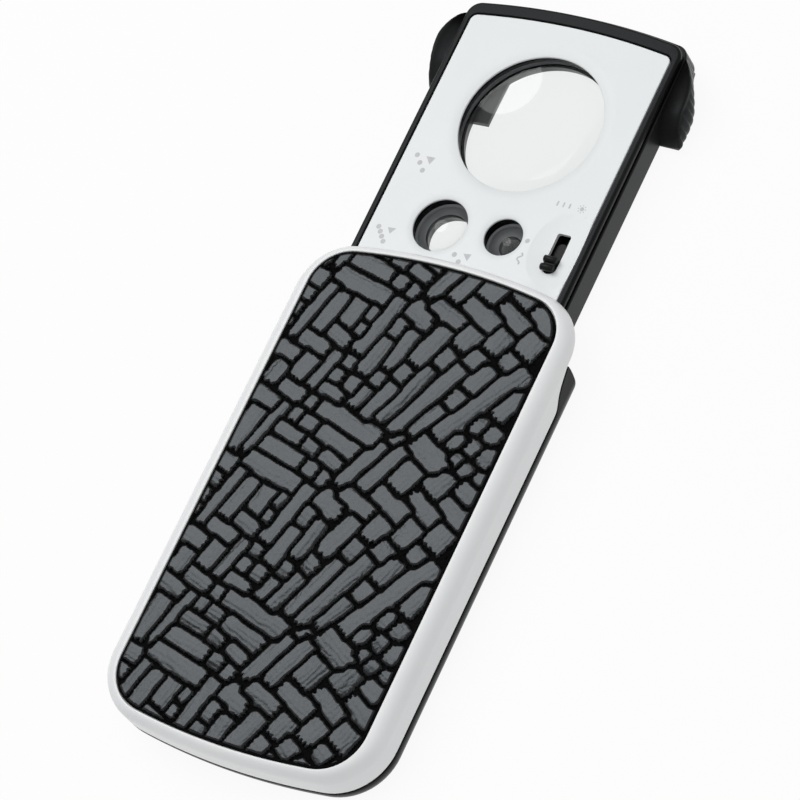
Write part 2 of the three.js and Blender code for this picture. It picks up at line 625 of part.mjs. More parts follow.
// ---- Assembly ----
piece("front_shell", "white", frontShell());
piece("leather_panel", "panel", leatherPanel());
piece("back_shell", "black", backShell());
SHELL_SCREWS.forEach((at, i) => piece(`shell_screw_${i + 1}`, "steel", screw(at, SHELL_SCREW_Z, 7)));
piece("detent_spring_left", "steel", detentSpring(-1));
piece("detent_spring_right", "steel", detentSpring(1));

piece("faceplate", "white", faceplate());
piece("upper_frame", "black", upperFrame());
piece("lower_case", "black", lowerCase());
LENSES.forEach((lens) => piece(lens.name, "glass", lensBody(lens)));
piece("circuit_board", "board", circuitBoard());
piece("switch_housing", "black", switchHousing());
LEDS.forEach((at) => piece(at.name, "led", ledBody(at)));
RESISTORS.forEach((at, i) => piece(`resistor_${i + 1}`, "resistor", resistor(at)));
[-1, 0, 1].forEach((i) => piece(`button_cell_${i + 2}`, "nickel", buttonCell(i * CELL.pitch)));
piece("cell_bridge_top", "nickel", cellBridge([-16, 4], TOP_STRIP_Z));
piece("cell_bridge_bottom", "nickel", cellBridge([-4, 17], LOW_STRIP_Z));
piece("contact_positive", "nickel", contactPositive());
piece("contact_negative", "nickel", contactNegative());
piece("battery_door", "black", batteryDoor());
piece("battery_door_screw", "steel", screw(DOOR_SCREW, DOOR_SCREW_Z, 2.1));
CASE_SCREWS.forEach((at, i) => piece(`case_screw_${i + 1}`, "steel", screw(at, CASE_SCREW_Z, 5.4)));

piece("switch_knob", "black", switchKnob());
piece("switch_wiper", "steel", switchWiper());

export default magnifier;
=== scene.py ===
import math
from collections import namedtuple

import bmesh
import bpy
import numpy as np
from mathutils import Matrix, Vector


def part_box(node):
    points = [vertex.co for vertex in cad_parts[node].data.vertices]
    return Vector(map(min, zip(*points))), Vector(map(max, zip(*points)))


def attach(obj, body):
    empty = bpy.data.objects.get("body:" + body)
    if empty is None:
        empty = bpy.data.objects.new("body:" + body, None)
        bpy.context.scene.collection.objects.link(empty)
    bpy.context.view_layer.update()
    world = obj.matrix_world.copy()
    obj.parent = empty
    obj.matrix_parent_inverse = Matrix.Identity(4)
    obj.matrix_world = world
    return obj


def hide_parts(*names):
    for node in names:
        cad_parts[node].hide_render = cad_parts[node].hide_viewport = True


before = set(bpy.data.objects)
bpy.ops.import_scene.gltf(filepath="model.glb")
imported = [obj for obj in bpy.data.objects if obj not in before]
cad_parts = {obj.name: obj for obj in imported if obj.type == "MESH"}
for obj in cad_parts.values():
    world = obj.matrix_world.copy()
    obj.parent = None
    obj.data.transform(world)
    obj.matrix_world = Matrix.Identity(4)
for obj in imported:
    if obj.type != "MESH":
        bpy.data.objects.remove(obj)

MM = 0.001
TURN = 2 * math.pi
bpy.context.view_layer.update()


def box_mm(node):
    low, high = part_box(node)
    return np.array(low) / MM, np.array(high) / MM


def centre_mm(node):
    low, high = box_mm(node)
    return (low + high) / 2


# ---- Dimensions, from the CAD model's boxes where a box gives them ----
# An outline has a half width and, for each end, its y, the radius of its bow and the radius of its corners.
LENS_X, LENS_Y, _ = centre_mm("lens_30x")
TOP_END = box_mm("lower_case")[1][1]
BOTTOM_END = box_mm("front_shell")[0][1]
SLEEVE = dict(half=box_mm("front_shell")[1][0], top=box_mm("front_shell")[1][1], top_bow=133, top_corner=11,
              bottom=BOTTOM_END, bottom_bow=140, bottom_corner=11.5)
PANEL = dict(half=box_mm("leather_panel")[1][0], top=box_mm("leather_panel")[1][1], top_bow=130, top_corner=8,
             bottom=box_mm("leather_panel")[0][1], bottom_bow=139, bottom_corner=8.8)
TAIL_LIP = 1.7
TAIL_Y = box_mm("faceplate")[0][1] - TAIL_LIP
CASE = dict(half=23.4, top=TOP_END, top_bow=144, top_corner=3,
            bottom=TAIL_Y, bottom_bow=2000, bottom_corner=3)
RAIL = dict(CASE, half=23.6, top=TOP_END - 1.2, bottom=TAIL_Y + 0.2)
PLATE = dict(CASE, half=22, top=LENS_Y + 21.3, top_corner=1.5, bottom=TAIL_Y + TAIL_LIP,
             bottom_corner=1.5)
CLEAR = 0.3
WALL = 1.7
BACK_FLOOR = 1.5
BACK_FOOT, BACK_FOOT_HIGH = 6, 5.2  # the rounded foot of the back shell
HOLLOW_FOOT, HOLLOW_FOOT_HIGH = 4.3, 3.7
BARREL_WALL = 1.1
BACK_END = LENS_Y - 45
BACK_ROUND = 5.2
PARTING_Z = 5.8
VISOR_Z = 9.5
CAVITY_TOP = 10.4
RIM_TOP = box_mm("front_shell")[1][2]
TOP_FILLET = 2.9
PANEL_FLOOR = 12.1
PANEL_BOTTOM = PANEL_FLOOR + CLEAR
PANEL_TOP = box_mm("leather_panel")[1][2]
PANEL_GAP = 0.14
LIP = PANEL_GAP + 0.3  # the least white edge left round the panel
# Edges as (inwards, height) steps: the recess's from the rim down, the seams' from the parting line
RECESS_EDGE = [(0, -0.25), (-0.06, -0.08), (-0.16, -0.01)]
FRONT_SEAM = [(0, 0.5), (0.03, 0.32), (0.12, 0.2), (0.3, 0.15), (WALL - 0.15, 0.15), (WALL, 0.3)]
BACK_SEAM = [(0.04, -0.27), (0.2, -0.15), (WALL, -0.15)]
CAVITY_EDGE = 0.35
MOUTH_HALF = 24
GUIDE_X, GUIDE_HALF, GUIDE_END, GUIDE_Z = 25.9, 2.7, LENS_Y - 122, (7.95, 8.45)
BOSS_BORE, BOSS_RADIUS, BOSS_Z = 1, 1.7, (6.1, 10.6)
CASE_BOTTOM, CASE_TOP, CASE_FLOOR, CASE_WALL = 1.9, 7.4, 1.2, 1.2
NECK_BOTTOM, RAIL_BOTTOM, PLATE_BOTTOM, PLATE_TOP = 7.7, 8.7, 8.8, 10.0
POST_RADIUS, POST_TOP = 2.3, 4.7
LUG_X, LUG_HALF, LUG_START, LUG_END, LUG_Z = 23.95, 0.75, 1, 3.2, (3.2, 5.4)
PULL_LEFT = 4  # how far the slider can still be pulled out
STOP_Y = TAIL_Y + LUG_END + PULL_LEFT + CLEAR
STOP_X, STOP_HALF, STOP_LONG, STOP_Z = 25.6, 1.8, 2, (2.6, 5.6)
# Lenses: plate opening, lens radius, rim thickness, rise of each face, ledge under the rim, window below
Lens = namedtuple("Lens", "node x y opening radius rim rise ledge window")
LENSES = [
    Lens("lens_30x", LENS_X, LENS_Y, 14.63, 15.9, 1.8, 1.5, 1.3, 14.6),
    Lens("lens_60x", *centre_mm("lens_60x")[:2], 5.55, 6.2, 1.3, 1.2, 0.9, 3.6),
    Lens("lens_90x", *centre_mm("lens_90x")[:2], 3.9, 4.5, 1.1, 1.1, 0.8, 1.6),
]
LAMP_TAB = dict(edge=-10.9, bottom=LENS_Y + 0.2, top=LENS_Y + 9.6, height=3.1)  # in the largest barrel
RIM_Z = 6.8
SLOT_X, SLOT_HALF, SLOT_TOP, SLOT_BOTTOM = 17.5, 1.45, LENS_Y - 20.2, LENS_Y - 28.7
KNOB_TOP = box_mm("switch_knob")[1][2]
STEM_HALF, STEM_LONG, STEM_BOTTOM = 1.15, 1.45, 6.3
STEM_Y = SLOT_BOTTOM + CLEAR + STEM_LONG
SHUTTER_HALF, SHUTTER_REACH, SHUTTER_Z = 1.1, 6.7, (7.95, 8.5)
KNOB_RIB_STEP, KNOB_RIB_HALF, KNOB_RIB_RADIUS, KNOB_RIB_END = 0.85, 1.35, 0.7, 0.25
CHANNEL_HALF, CHANNEL_LONG, CHANNEL_Z = 2.4, 51.6, (9, 11.6)  # lets the knob pass under the front shell
CELL_Y = centre_mm("button_cell_2")[1]
DOOR_HALF, DOOR_DEPTH, DOOR_TOP, TAB_HALF, TAB = 19.3, 12.6, 3.1, 2.6, 3.7
DOOR_EDGE = CELL_Y + DOOR_DEPTH / 2
DOOR_GRIP_X, DOOR_GRIP_STEP, DOOR_GRIP_HALF, DOOR_GRIP_RADIUS = 10.9, 1.6, 3.5, 0.4
LAMPS = ("white_led_left", "white_led_right", "uv_led")
HEAD_HOLE, SHANK_HOLE = 1.75, 1.0
HEAD_RADIUS, SCREW_PITCH = 1.45, 0.45
LAMP_FLANGE, LAMP_DOME, LAMP_DOME_HIGH = 1.9, 1.4, 1.2
BELOW, ABOVE, PAST = -5, 20, 10  # heights beyond every piece, and how far a cutter runs past one
SHARP = 34  # degrees between two faces above which their edge stays sharp
CORNER_STEPS, BOW_STEPS, SIDE_STEPS = 14, 40, 110
LEAST_CORNER = 0.4

MATERIALS = {}


# ---- Materials ----
BLOTCH_DETAIL, BLOTCH_LOW, BLOTCH_HIGH = 4, 0.3, 0.7
GRAIN_DETAIL, GRAIN_LOW, GRAIN_HIGH = 5, 0.25, 0.75
NOISE_ROUGHNESS = 0.55
BUMP_STRENGTH = 0.5
MOULDING_WAVES, WAVE_RELIEF = 900, 0.0000004
ACRYLIC, EPOXY = 1.49, 1.5  # refractive indices
COOL = (0.88, 0.95, 1.0)


def grey(value):
    return (value, value, value)


def noise_node(nodes, links, coords, scale, detail):
    node = nodes.new("ShaderNodeTexNoise")
    node.inputs["Scale"].default_value = scale
    node.inputs["Detail"].default_value = detail
    node.inputs["Roughness"].default_value = NOISE_ROUGHNESS
    links.new(coords, node.inputs["Vector"])
    return node


def ramp_node(nodes, links, factor, stops):
    node = nodes.new("ShaderNodeValToRGB")
    ramp = node.color_ramp
    while len(ramp.elements) < len(stops):
        ramp.elements.new(0.5)
    for element, (place, value) in zip(ramp.elements, stops):
        element.position = place
        element.color = (*value, 1)
    links.new(factor, node.inputs["Fac"])
    return node


def surface(name, dark, light, rough, grain, relief, blotch=60, metallic=0.0, level=0.5, tint=(1, 1, 1)):
    """A procedural finish: blotchy colour between two tones, roughness that varies, and a fine grain in
    relief. Grain and blotch are noise scales per metre, and relief is a height in metres."""
    material = bpy.data.materials.new(name)
    material.use_nodes = True
    nodes, links = material.node_tree.nodes, material.node_tree.links
    shader = nodes["Principled BSDF"]
    coords = nodes.new("ShaderNodeTexCoord").outputs["Object"]
    patches = noise_node(nodes, links, coords, blotch, BLOTCH_DETAIL)
    colour = ramp_node(nodes, links, patches.outputs["Fac"], [(BLOTCH_LOW, dark), (BLOTCH_HIGH, light)])
    links.new(colour.outputs["Color"], shader.inputs["Base Color"])
    fine = noise_node(nodes, links, coords, grain, GRAIN_DETAIL)
    low, high = rough
    stops = [(GRAIN_LOW, grey(low)), (GRAIN_HIGH, grey(high))]
    roughness = ramp_node(nodes, links, fine.outputs["Fac"], stops)
    links.new(roughness.outputs["Color"], shader.inputs["Roughness"])
    bump = nodes.new("ShaderNodeBump")
    bump.inputs["Strength"].default_value = BUMP_STRENGTH
    bump.inputs["Distance"].default_value = relief
    links.new(fine.outputs["Fac"], bump.inputs["Height"])
    links.new(bump.outputs["Normal"], shader.inputs["Normal"])
    shader.inputs["Metallic"].default_value = metallic
    shader.inputs["Specular IOR Level"].default_value = level
    shader.inputs["Specular Tint"].default_value = (*tint, 1)
    MATERIALS[name] = material
    return material


def clear(name, tint, index, rough, through=1.0, level=0.5):
    """See-through plastic or glass with very faint moulding waves."""
    material = surface(name, tint, tint, rough, MOULDING_WAVES, WAVE_RELIEF, level=level)
    shader = material.node_tree.nodes["Principled BSDF"]
    shader.inputs["Transmission Weight"].default_value = through
    shader.inputs["IOR"].default_value = index
    return material


surface("white_plastic", (0.755, 0.765, 0.775), (0.79, 0.797, 0.803), (0.28, 0.36), 2600, 0.000004)
surface("plate_plastic", (0.735, 0.762, 0.77), (0.757, 0.783, 0.79), (0.34, 0.44), 2600, 0.000004)
surface("black_plastic", grey(0.006), grey(0.011), (0.24, 0.34), 3200, 0.000003, level=0.11, tint=COOL)
surface("case_plastic", grey(0.008), grey(0.014), (0.3, 0.42), 3200, 0.000004, level=0.24, tint=COOL)
surface("knob_plastic", grey(0.005), grey(0.011), (0.3, 0.42), 3200, 0.000004, level=0.16)
surface("leather", grey(0.002), grey(0.008), (0.14, 0.3), 2400, 0.000012, blotch=240, tint=COOL)
# Painted shade: a darker, duller leather for the grooves and the edge strip, standing in for the shade that
# falls in them
surface("leather_painted_shade", grey(0.001), grey(0.003), (0.5, 0.7), 2400, 0.000012, blotch=240, level=0.04)
surface("print_grey", (0.46, 0.47, 0.49), (0.54, 0.55, 0.57), (0.4, 0.5), 5000, 0.000002, blotch=900)
surface("steel", (0.5, 0.5, 0.5), (0.62, 0.62, 0.61), (0.18, 0.34), 5200, 0.000002, metallic=1.0)
surface("board", (0.003, 0.016, 0.007), (0.006, 0.026, 0.012), (0.35, 0.5), 1800, 0.000006)
surface("resistor", grey(0.012), grey(0.03), (0.5, 0.65), 4000, 0.000004)
clear("lens", (0.93, 0.945, 0.94), ACRYLIC, (0.0, 0.012), level=0.1)
# Painted reflection: a grey, partly clear finish for the lenses' edges, standing in for the dark barrel wall
# mirrored in them
clear("lens_edge_painted_reflection", (0.5, 0.52, 0.54), ACRYLIC, (0.4, 0.6), through=0.3)
clear("resin", (0.95, 0.96, 0.97), EPOXY, (0.02, 0.06))


# ---- Mesh helpers ----
def make(name, vertices, faces, smooth=SHARP):
    mesh = bpy.data.meshes.new(name)
    mesh.from_pydata([tuple(float(c) * MM for c in v) for v in vertices], [], faces)
    mesh.update()
    return wrap(name, mesh, smooth)


def wrap(name, mesh, smooth=SHARP):
    piece = bpy.data.objects.new(name, mesh)
    bpy.context.scene.collection.objects.link(piece)
    finish_normals(piece, smooth)
    return piece


def finish_normals(piece, smooth):
    piece.data.shade_smooth()
    if smooth:
        piece.data.set_sharp_from_angle(angle=math.radians(smooth))


def dress(piece, material, body, nodes=(), flat_normals=True):
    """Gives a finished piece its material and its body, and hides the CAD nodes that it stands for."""
    piece.data.materials.clear()
    piece.data.materials.append(MATERIALS[material])
    if flat_normals:
        weighted = piece.modifiers.new("normals", "WEIGHTED_NORMAL")
        weighted.keep_sharp = True
    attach(piece, body)
    if nodes:
        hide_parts(*nodes)
    return piece


def combine(piece, tools, operation="DIFFERENCE", smooth=SHARP):
    """Cuts the tools out of the piece, or joins them to it, and removes the tools."""
    group = bpy.data.collections.new("tools")
    bpy.context.scene.collection.children.link(group)
    for tool in tools:
        bpy.context.scene.collection.objects.unlink(tool)
        group.objects.link(tool)
    change = piece.modifiers.new("change", "BOOLEAN")
    change.operation = operation
    change.solver = "EXACT"
    change.operand_type = "COLLECTION"
    change.collection = group
    view = bpy.context.evaluated_depsgraph_get()
    mesh = bpy.data.meshes.new_from_object(piece.evaluated_get(view))
    piece.modifiers.clear()
    piece.data = mesh
    for tool in tools:
        bpy.data.objects.remove(tool)
    bpy.data.collections.remove(group)
    finish_normals(piece, smooth)
    return piece


def arc(centre, radius, start, end, steps):
    angles = np.linspace(start, end, steps + 1)[:-1]
    return [(centre[0] + radius * math.cos(a), centre[1] + radius * math.sin(a)) for a in angles]


def line(start, end, steps):
    return [tuple(np.array(start) + (np.array(end) - start) * i / steps) for i in range(steps)]


def outline_ends(spec, inset):
    """For each end of an outline: its sign, its bow's centre and radius, its corners' centre and radius."""
    for sign, end in ((1, "top"), (-1, "bottom")):
        bow = spec[end + "_bow"]
        radius, small = bow - inset, max(spec[end + "_corner"] - inset, LEAST_CORNER)
        bow_y = spec[end] - sign * bow
        x = spec["half"] - inset - small
        y = bow_y + sign * math.sqrt((radius - small) ** 2 - x * x)
        yield sign, bow_y, radius, x, y, small


def outline(spec, inset=0.0):
    """A closed outline, anticlockwise, taken in by an inset."""
    side = spec["half"] - inset
    half_ends = []
    for sign, bow_y, radius, x, y, small in outline_ends(spec, inset):
        turn = math.atan2(abs(y - bow_y), x)
        start = 0 if sign > 0 else math.pi
        half_ends.append([
            *arc((sign * x, y), small, start, start + turn, CORNER_STEPS),
            *arc((0, bow_y), radius, start + turn, start + math.pi - turn, BOW_STEPS),
            *arc((-sign * x, y), small, start + math.pi - turn, start + math.pi, CORNER_STEPS),
            (-sign * side, y),
        ])
    top, bottom = half_ends
    left = line(top[-1], bottom[0], SIDE_STEPS)[1:]
    right = line(bottom[-1], top[0], SIDE_STEPS)[1:]
    return np.array([*top, *left, *bottom, *right])


def ring(spec, inset, z):
    """The outline as a ring of points at a height, or at a height that depends on y."""
    flat = outline(spec, inset)
    height = z(flat[:, 1]) if callable(z) else np.full(len(flat), z)
    return np.column_stack([flat, height])


def loft(name, rings, smooth=SHARP):
    """A closed body through equal rings of points, with flat ends."""
    count = len(rings[0])
    faces = []
    for level in range(len(rings) - 1):
        a, b = level * count, (level + 1) * count
        faces += [(a + i, a + (i + 1) % count, b + (i + 1) % count, b + i) for i in range(count)]
    faces.append(tuple(reversed(range(count))))
    faces.append(tuple(range((len(rings) - 1) * count, len(rings) * count)))
    return make(name, np.concatenate(rings), faces, smooth)


def lathe(name, profile, x, y, segments=96, smooth=SHARP):
    """A body turned about a vertical axis from (radius, height) points; points on the axis become one."""
    vertices, rows = [], []
    for radius, z in profile:
        if radius < 1e-6:
            rows.append([len(vertices)] * segments)
            vertices.append((x, y, z))
        else:
            rows.append(list(range(len(vertices), len(vertices) + segments)))
            vertices += [(x + radius * math.cos(TURN * i / segments),
                          y + radius * math.sin(TURN * i / segments), z) for i in range(segments)]
    faces = []
    for low, high in zip(rows, rows[1:]):
        for i in range(segments):
            j = (i + 1) % segments
            face = tuple(dict.fromkeys((low[i], low[j], high[j], high[i])))
            if len(face) > 2:
                faces.append(face)
    return make(name, vertices, faces, smooth)


def tube_cutter(name, x, y, radius, low, high, segments=96):
    return lathe(name, [(0, low), (radius, low), (radius, high), (0, high)], x, y, segments)


def block(name, x, y, z, bevel=0.0):
    """A box between pairs of limits, with its edges rounded by a bevel."""
    data = bmesh.new()
    bmesh.ops.create_cube(data, size=1)
    for vertex in data.verts:
        for axis, (low, high) in enumerate((x, y, z)):
            vertex.co[axis] = (low + (high - low) * (vertex.co[axis] + 0.5)) * MM
    if bevel:
        edges = list(data.edges)
        bmesh.ops.bevel(data, geom=edges, offset=bevel * MM, segments=3, profile=0.5, affect="EDGES")
    return wrap(name, new_mesh(name, data))


def new_mesh(name, data):
    """A mesh from bmesh data, which is freed."""
    mesh = bpy.data.meshes.new(name)
    data.to_mesh(mesh)
    data.free()
    return mesh


def prism(name, points, low, high, axis="z"):
    """A closed outline of points carried from one height to another, along Z or along X."""
    def place(p, h):
        return (p[0], p[1], h) if axis == "z" else (h, p[0], p[1])
    return loft(name, [np.array([place(p, h) for p in points]) for h in (low, high)])


def curve_through(pairs, at):
    """A smooth curve through (place, value) pairs."""
    xs, ys = np.array(pairs, float).T
    slopes = np.gradient(ys, xs)
    i = np.clip(np.searchsorted(xs, at) - 1, 0, len(xs) - 2)
    width = xs[i + 1] - xs[i]
    t = np.clip((at - xs[i]) / width, 0, 1)
    return ((2 * t**3 - 3 * t**2 + 1) * ys[i] + (t**3 - 2 * t**2 + t) * width * slopes[i]
            + (3 * t**2 - 2 * t**3) * ys[i + 1] + (t**3 - t**2) * width * slopes[i + 1])


def corner_round(radius, steps):
    """(inwards, upwards) steps round a quarter circle, from the side up to the top."""
    angles = np.radians(np.linspace(0, 90, steps + 1))
    return [(radius * (1 - math.cos(a)), radius * math.sin(a)) for a in angles]


def smoothstep(low, high, value):
    t = np.clip((value - low) / (high - low), 0, 1)
    return t * t * (3 - 2 * t)


# ---- The line where the sleeve's white and black halves part ----
PARTING = [(-53.6, 0), (-52.6, 0.25), (-51.7, 1.0), (-50.5, 1.85), (-49, 2.55), (-47.4, 3.05), (-45, 3.7)]
PARTING_STEP, SOFTEN = 0.05, 33  # the spacing of its points, and how many of them soften a bend
part_y = np.arange(BOTTOM_END - PAST, SLEEVE["top"] + PAST, PARTING_STEP)
part_rise = np.interp(part_y - LENS_Y, *np.array(PARTING, float).T)
part_kernel = np.hanning(SOFTEN) / np.hanning(SOFTEN).sum()
part_line = PARTING_Z + np.convolve(np.pad(part_rise, SOFTEN // 2, "edge"), part_kernel, "valid")


def parting(lift):
    """The height of the parting line at y, lifted."""
    return lambda y: np.interp(y, part_y, part_line) + lift


# ---- Sleeve ----
def top_fillet():
    """The sleeve's rounded upper edge, narrower at the two ends, where the panel comes close."""
    outer = ring(SLEEVE, 0, RIM_TOP)
    inner = ring(SLEEVE, TOP_FILLET, RIM_TOP)
    x, y = inner[:, 0], inner[:, 1]
    slope_x, slope_y = outward(x, y, PANEL, 0, 0.05)
    push = np.maximum(LIP - rounded_distance(x, y, PANEL), 0)
    inner = inner + np.column_stack([slope_x * push, slope_y * push, 0 * push])
    rings = []
    for inwards, upwards in reversed(corner_round(TOP_FILLET, CORNER_STEPS)):
        level = outer + (inner - outer) * inwards / TOP_FILLET
        level[:, 2] = RIM_TOP - TOP_FILLET + upwards
        rings.append(level)
    return rings


def front_shell():
    rings = [
        ring(PANEL, -PANEL_GAP, PANEL_FLOOR),
        *[ring(PANEL, inwards - PANEL_GAP, RIM_TOP + height) for inwards, height in RECESS_EDGE],
        *top_fillet(),
        *[ring(SLEEVE, inwards, parting(height)) for inwards, height in FRONT_SEAM],
        ring(SLEEVE, WALL, CAVITY_TOP - CAVITY_EDGE),
        ring(SLEEVE, WALL + CAVITY_EDGE, CAVITY_TOP),
    ]
    shell = loft("front_shell_body", rings[::-1])
    mouth_end = SLEEVE["top"] + PAST
    mouth = block("mouth", (-MOUTH_HALF, MOUTH_HALF), (BACK_END - PAST, mouth_end), (-4, CAVITY_TOP - 0.001))
    channel = block("channel", around(SLOT_X, CHANNEL_HALF), (STEM_Y - CHANNEL_LONG, mouth_end), CHANNEL_Z)
    combine(shell, [mouth, channel])
    ribs = [block("rib", around(side * GUIDE_X, GUIDE_HALF), (GUIDE_END, BACK_END - 2), GUIDE_Z, 0.15)
            for side in (-1, 1)]
    combine(shell, ribs, "UNION")
    low, high = BOSS_Z
    section = [(BOSS_BORE, low), (BOSS_RADIUS, low), (BOSS_RADIUS, high), (BOSS_BORE, high)]
    bosses = [lathe("boss", section, x, y, 32) for x, y in screw_places("shell_screw")]
    for boss in bosses:
        close_ends(boss)
    combine(shell, bosses, "UNION")
    dress(shell, "white_plastic", "sleeve", ["front_shell"])


def around(middle, half):
    return middle - half, middle + half


def screw_places(family):
    """The places of a family's four screws."""
    return [centre_mm(f"{family}_{i}")[:2] for i in (1, 2, 3, 4)]


def close_ends(tube):
    """Joins the inner and outer walls of a turned tube."""
    data = bmesh.new()
    data.from_mesh(tube.data)
    edges = [e for e in data.edges if e.is_boundary]
    bmesh.ops.bridge_loops(data, edges=edges)
    bmesh.ops.recalc_face_normals(data, faces=data.faces)
    data.to_mesh(tube.data)
    data.free()


def back_shell():
    nearly_upright = 88
    bottom = [ring(SLEEVE, BACK_FOOT * (1 - math.sin(a)), BACK_FOOT_HIGH * (1 - math.cos(a)))
              for a in np.radians(np.linspace(0, nearly_upright, 18))]
    bottom[0] = ring(SLEEVE, BACK_FOOT + 0.2, 0)
    hollow = [ring(SLEEVE, WALL + HOLLOW_FOOT * (1 - math.sin(a)),
                   BACK_FLOOR + HOLLOW_FOOT_HIGH * (1 - math.cos(a)))
              for a in np.radians(np.linspace(nearly_upright, 0, 8))]
    rings = [
        *bottom,
        ring(SLEEVE, 0, BACK_FOOT_HIGH + 0.05),
        *[ring(SLEEVE, inwards, parting(height)) for inwards, height in BACK_SEAM],
        *hollow,
    ]
    shell = loft("back_shell_body", rings)
    turn = [(BACK_END - BACK_ROUND * (1 - math.cos(a)), VISOR_Z * (1 - math.sin(a)))
            for a in np.linspace(0, math.pi / 2, 24)]
    far = BACK_END + 30
    section = [*turn, (BACK_END - BACK_ROUND, -3), (far, -3), (far, ABOVE), (BACK_END, ABOVE)]
    combine(shell, [prism("ahead", section, -40, 40, "x")])
    stops = [block("stop", around(side * STOP_X, STOP_HALF), (STOP_Y, STOP_Y + STOP_LONG), STOP_Z, 0.2)
             for side in (-1, 1)]
    combine(shell, stops, "UNION")
    spots = screw_places("shell_screw")
    combine(shell, [tube_cutter("hole", x, y, HEAD_HOLE, -1, 3.3, 48) for x, y in spots])
    dress(shell, "black_plastic", "sleeve", ["back_shell"])


# The panel's embossing repeats along the sleeve. Each bar is (x, y) to (x, y) and a width, with y from the
# largest lens; each tile is a centre, a length and a width, lying in the direction of its neighbours.
REPEAT = 40.0
BARS = [
    (-23.4, -70, -25.3, -79.3, 3.2), (-18.3, -67.8, -22.6, -79.3, 2.3), (-15.6, -67.8, -16.4, -71, 2.6),
    (-14.2, -70.1, -10.8, -70.9, 3), (-19, -72.4, -12.2, -73.8, 2.8), (-20, -76.3, -10, -78.1, 3.2),
    (-21.6, -79.7, -8.2, -83, 3.4), (-9.6, -71, -0.5, -74, 3.8), (-12.3, -106.5, 3, -110.3, 3.6),
    (-7, -74.9, -2, -77.2, 3), (-20.7, -82.6, -24.4, -95, 2.6), (-18, -84, -20.4, -92.6, 3.6),
    (-13.6, -84.6, -15.1, -90.3, 3.7), (-9.8, -85, -11.2, -87.9, 2.3), (-17.5, -91, -12.5, -93.2, 3),
    (-22.8, -93.8, -15.9, -96, 3), (-6.2, -82, -9.6, -95, 3.2), (-4.8, -90.5, -7.2, -98.3, 3.4),
    (-0.8, -88, -2.6, -96, 2.8), (-13.8, -102.7, -8.2, -104.2, 2.8), (-13.2, -95.6, -16.2, -103.6, 2.6),
    (-18, -97, -19.8, -103, 4.2), (-26, -97, -20.8, -98.8, 3), (-22.9, -100.2, -24.2, -105, 3.4),
    (-22.2, -104, -15.8, -106.2, 3.2), (-26.4, -107, -20.5, -108.8, 2.8), (-4, -101, -5.6, -105.2, 2.6),
    (0.6, -99, -3, -106.5, 2.8), (4.2, -70, -0.9, -80, 3), (8.3, -70.2, 3.8, -79.6, 3.2),
    (12, -73, 9.6, -78, 4.6), (19.2, -72.4, 16.8, -77.4, 4.4), (6.6, -79, 14.6, -82.6, 3.2),
    (0.3, -81.3, 8.2, -84, 3), (-3.8, -83, 1.8, -85.3, 3.6), (14.3, -77.8, 20.8, -81.8, 3),
    (20.6, -77.3, 26.2, -80.8, 3.2), (9.6, -67.7, 18.2, -72, 4), (6, -85.5, 2.4, -93.8, 3.3),
    (11.4, -84.5, 9.4, -88.6, 4.2), (17.6, -83.5, 15.8, -87.6, 4.2), (23.6, -82.6, 21.8, -86.8, 4.2),
    (11.6, -89, 15.4, -91, 3), (18.6, -87.4, 22, -89.6, 2.8), (17.2, -91, 15.2, -96, 3.6),
    (6.3, -94, 1.2, -106, 2.6), (12, -92, 4.2, -107.6, 3), (11.8, -100.6, 8, -107, 2.9),
    (24.5, -89.8, 13, -106.5, 3.8), (25.3, -94, 22.6, -99.5, 3.4), (17.8, -104.8, 16.6, -107.8, 3),
]
TILES = [
    (-9.8, -74.8, 3.6, 2.8), (-7.8, -78.8, 3.2, 2.6), (-4.4, -79.9, 2.6, 3), (-24.8, -82.2, 4.2, 3.4),
    (-25.3, -85.8, 3, 3), (-26, -89, 2, 2.8), (-26.2, -92.3, 1.8, 2.2), (-11.3, -90, 2.4, 2.6),
    (-4.2, -87.8, 3.2, 3.8), (-3, -98.6, 2.6, 2.6), (-10.4, -96.8, 3, 2.8), (-11.6, -100, 3, 3.2),
    (-7.8, -101, 3, 3.2), (-13.9, -106.5, 2.8, 2.8), (23.8, -74.8, 4.3, 3.8), (25, -72, 2.6, 2.4),
    (21.7, -71, 3, 2.4), (19, -69.5, 2.6, 2.6), (6, -68.9, 2.2, 2.4), (7.8, -91.2, 3.2, 3.6),
    (1.2, -96.2, 2.8, 3), (13.6, -98.3, 3.4, 3.6), (20.4, -102, 3.2, 3), (23.5, -103.3, 3.2, 2.8),
    (21.2, -106.4, 3, 2.8), (24.4, -107.4, 3, 3.4),
]
GRID = 0.17
PANEL_INSET = 0.02
GROOVE_Z = PANEL_BOTTOM + 0.06
EMBOSS = PANEL_TOP - 0.02 - GROOVE_Z
RELIEF_SEED, TEXTURE_SEED = 7, 11
BLOCK_ROUND = 0.15
TILE_LEAN = (-13, -25)  # degrees, left and right of the middle
TORN_LEFT_BEYOND = 6  # x beyond which a lying block is torn at its left end
WARP = ((0.12, 3.2), (0.05, 0.8))  # how far block edges wander, over what length
GROOVE_HALF, GROOVE_SWELL, END_GAP, END_RAGGED, RAGGED = 0.1, 0.12, 0.04, 0.12, 0.03
WALL_RUN = 0.3  # how far a block's wall slopes
LEAST_TOP = 0.55


def value_noise(x, y, cell, rng):
    """Smooth random values between -1 and 1 with features the size of a cell."""
    u, v = (x - x.min()) / cell, (y - y.min()) / cell
    table = rng.uniform(-1, 1, (int(u.max()) + 3, int(v.max()) + 3))
    i, j = u.astype(int), v.astype(int)
    fu, fv = u - i, v - j
    fu, fv = fu * fu * (3 - 2 * fu), fv * fv * (3 - 2 * fv)
    low = table[i, j] * (1 - fu) + table[i + 1, j] * fu
    high = table[i, j + 1] * (1 - fu) + table[i + 1, j + 1] * fu
    return low * (1 - fv) + high * fv


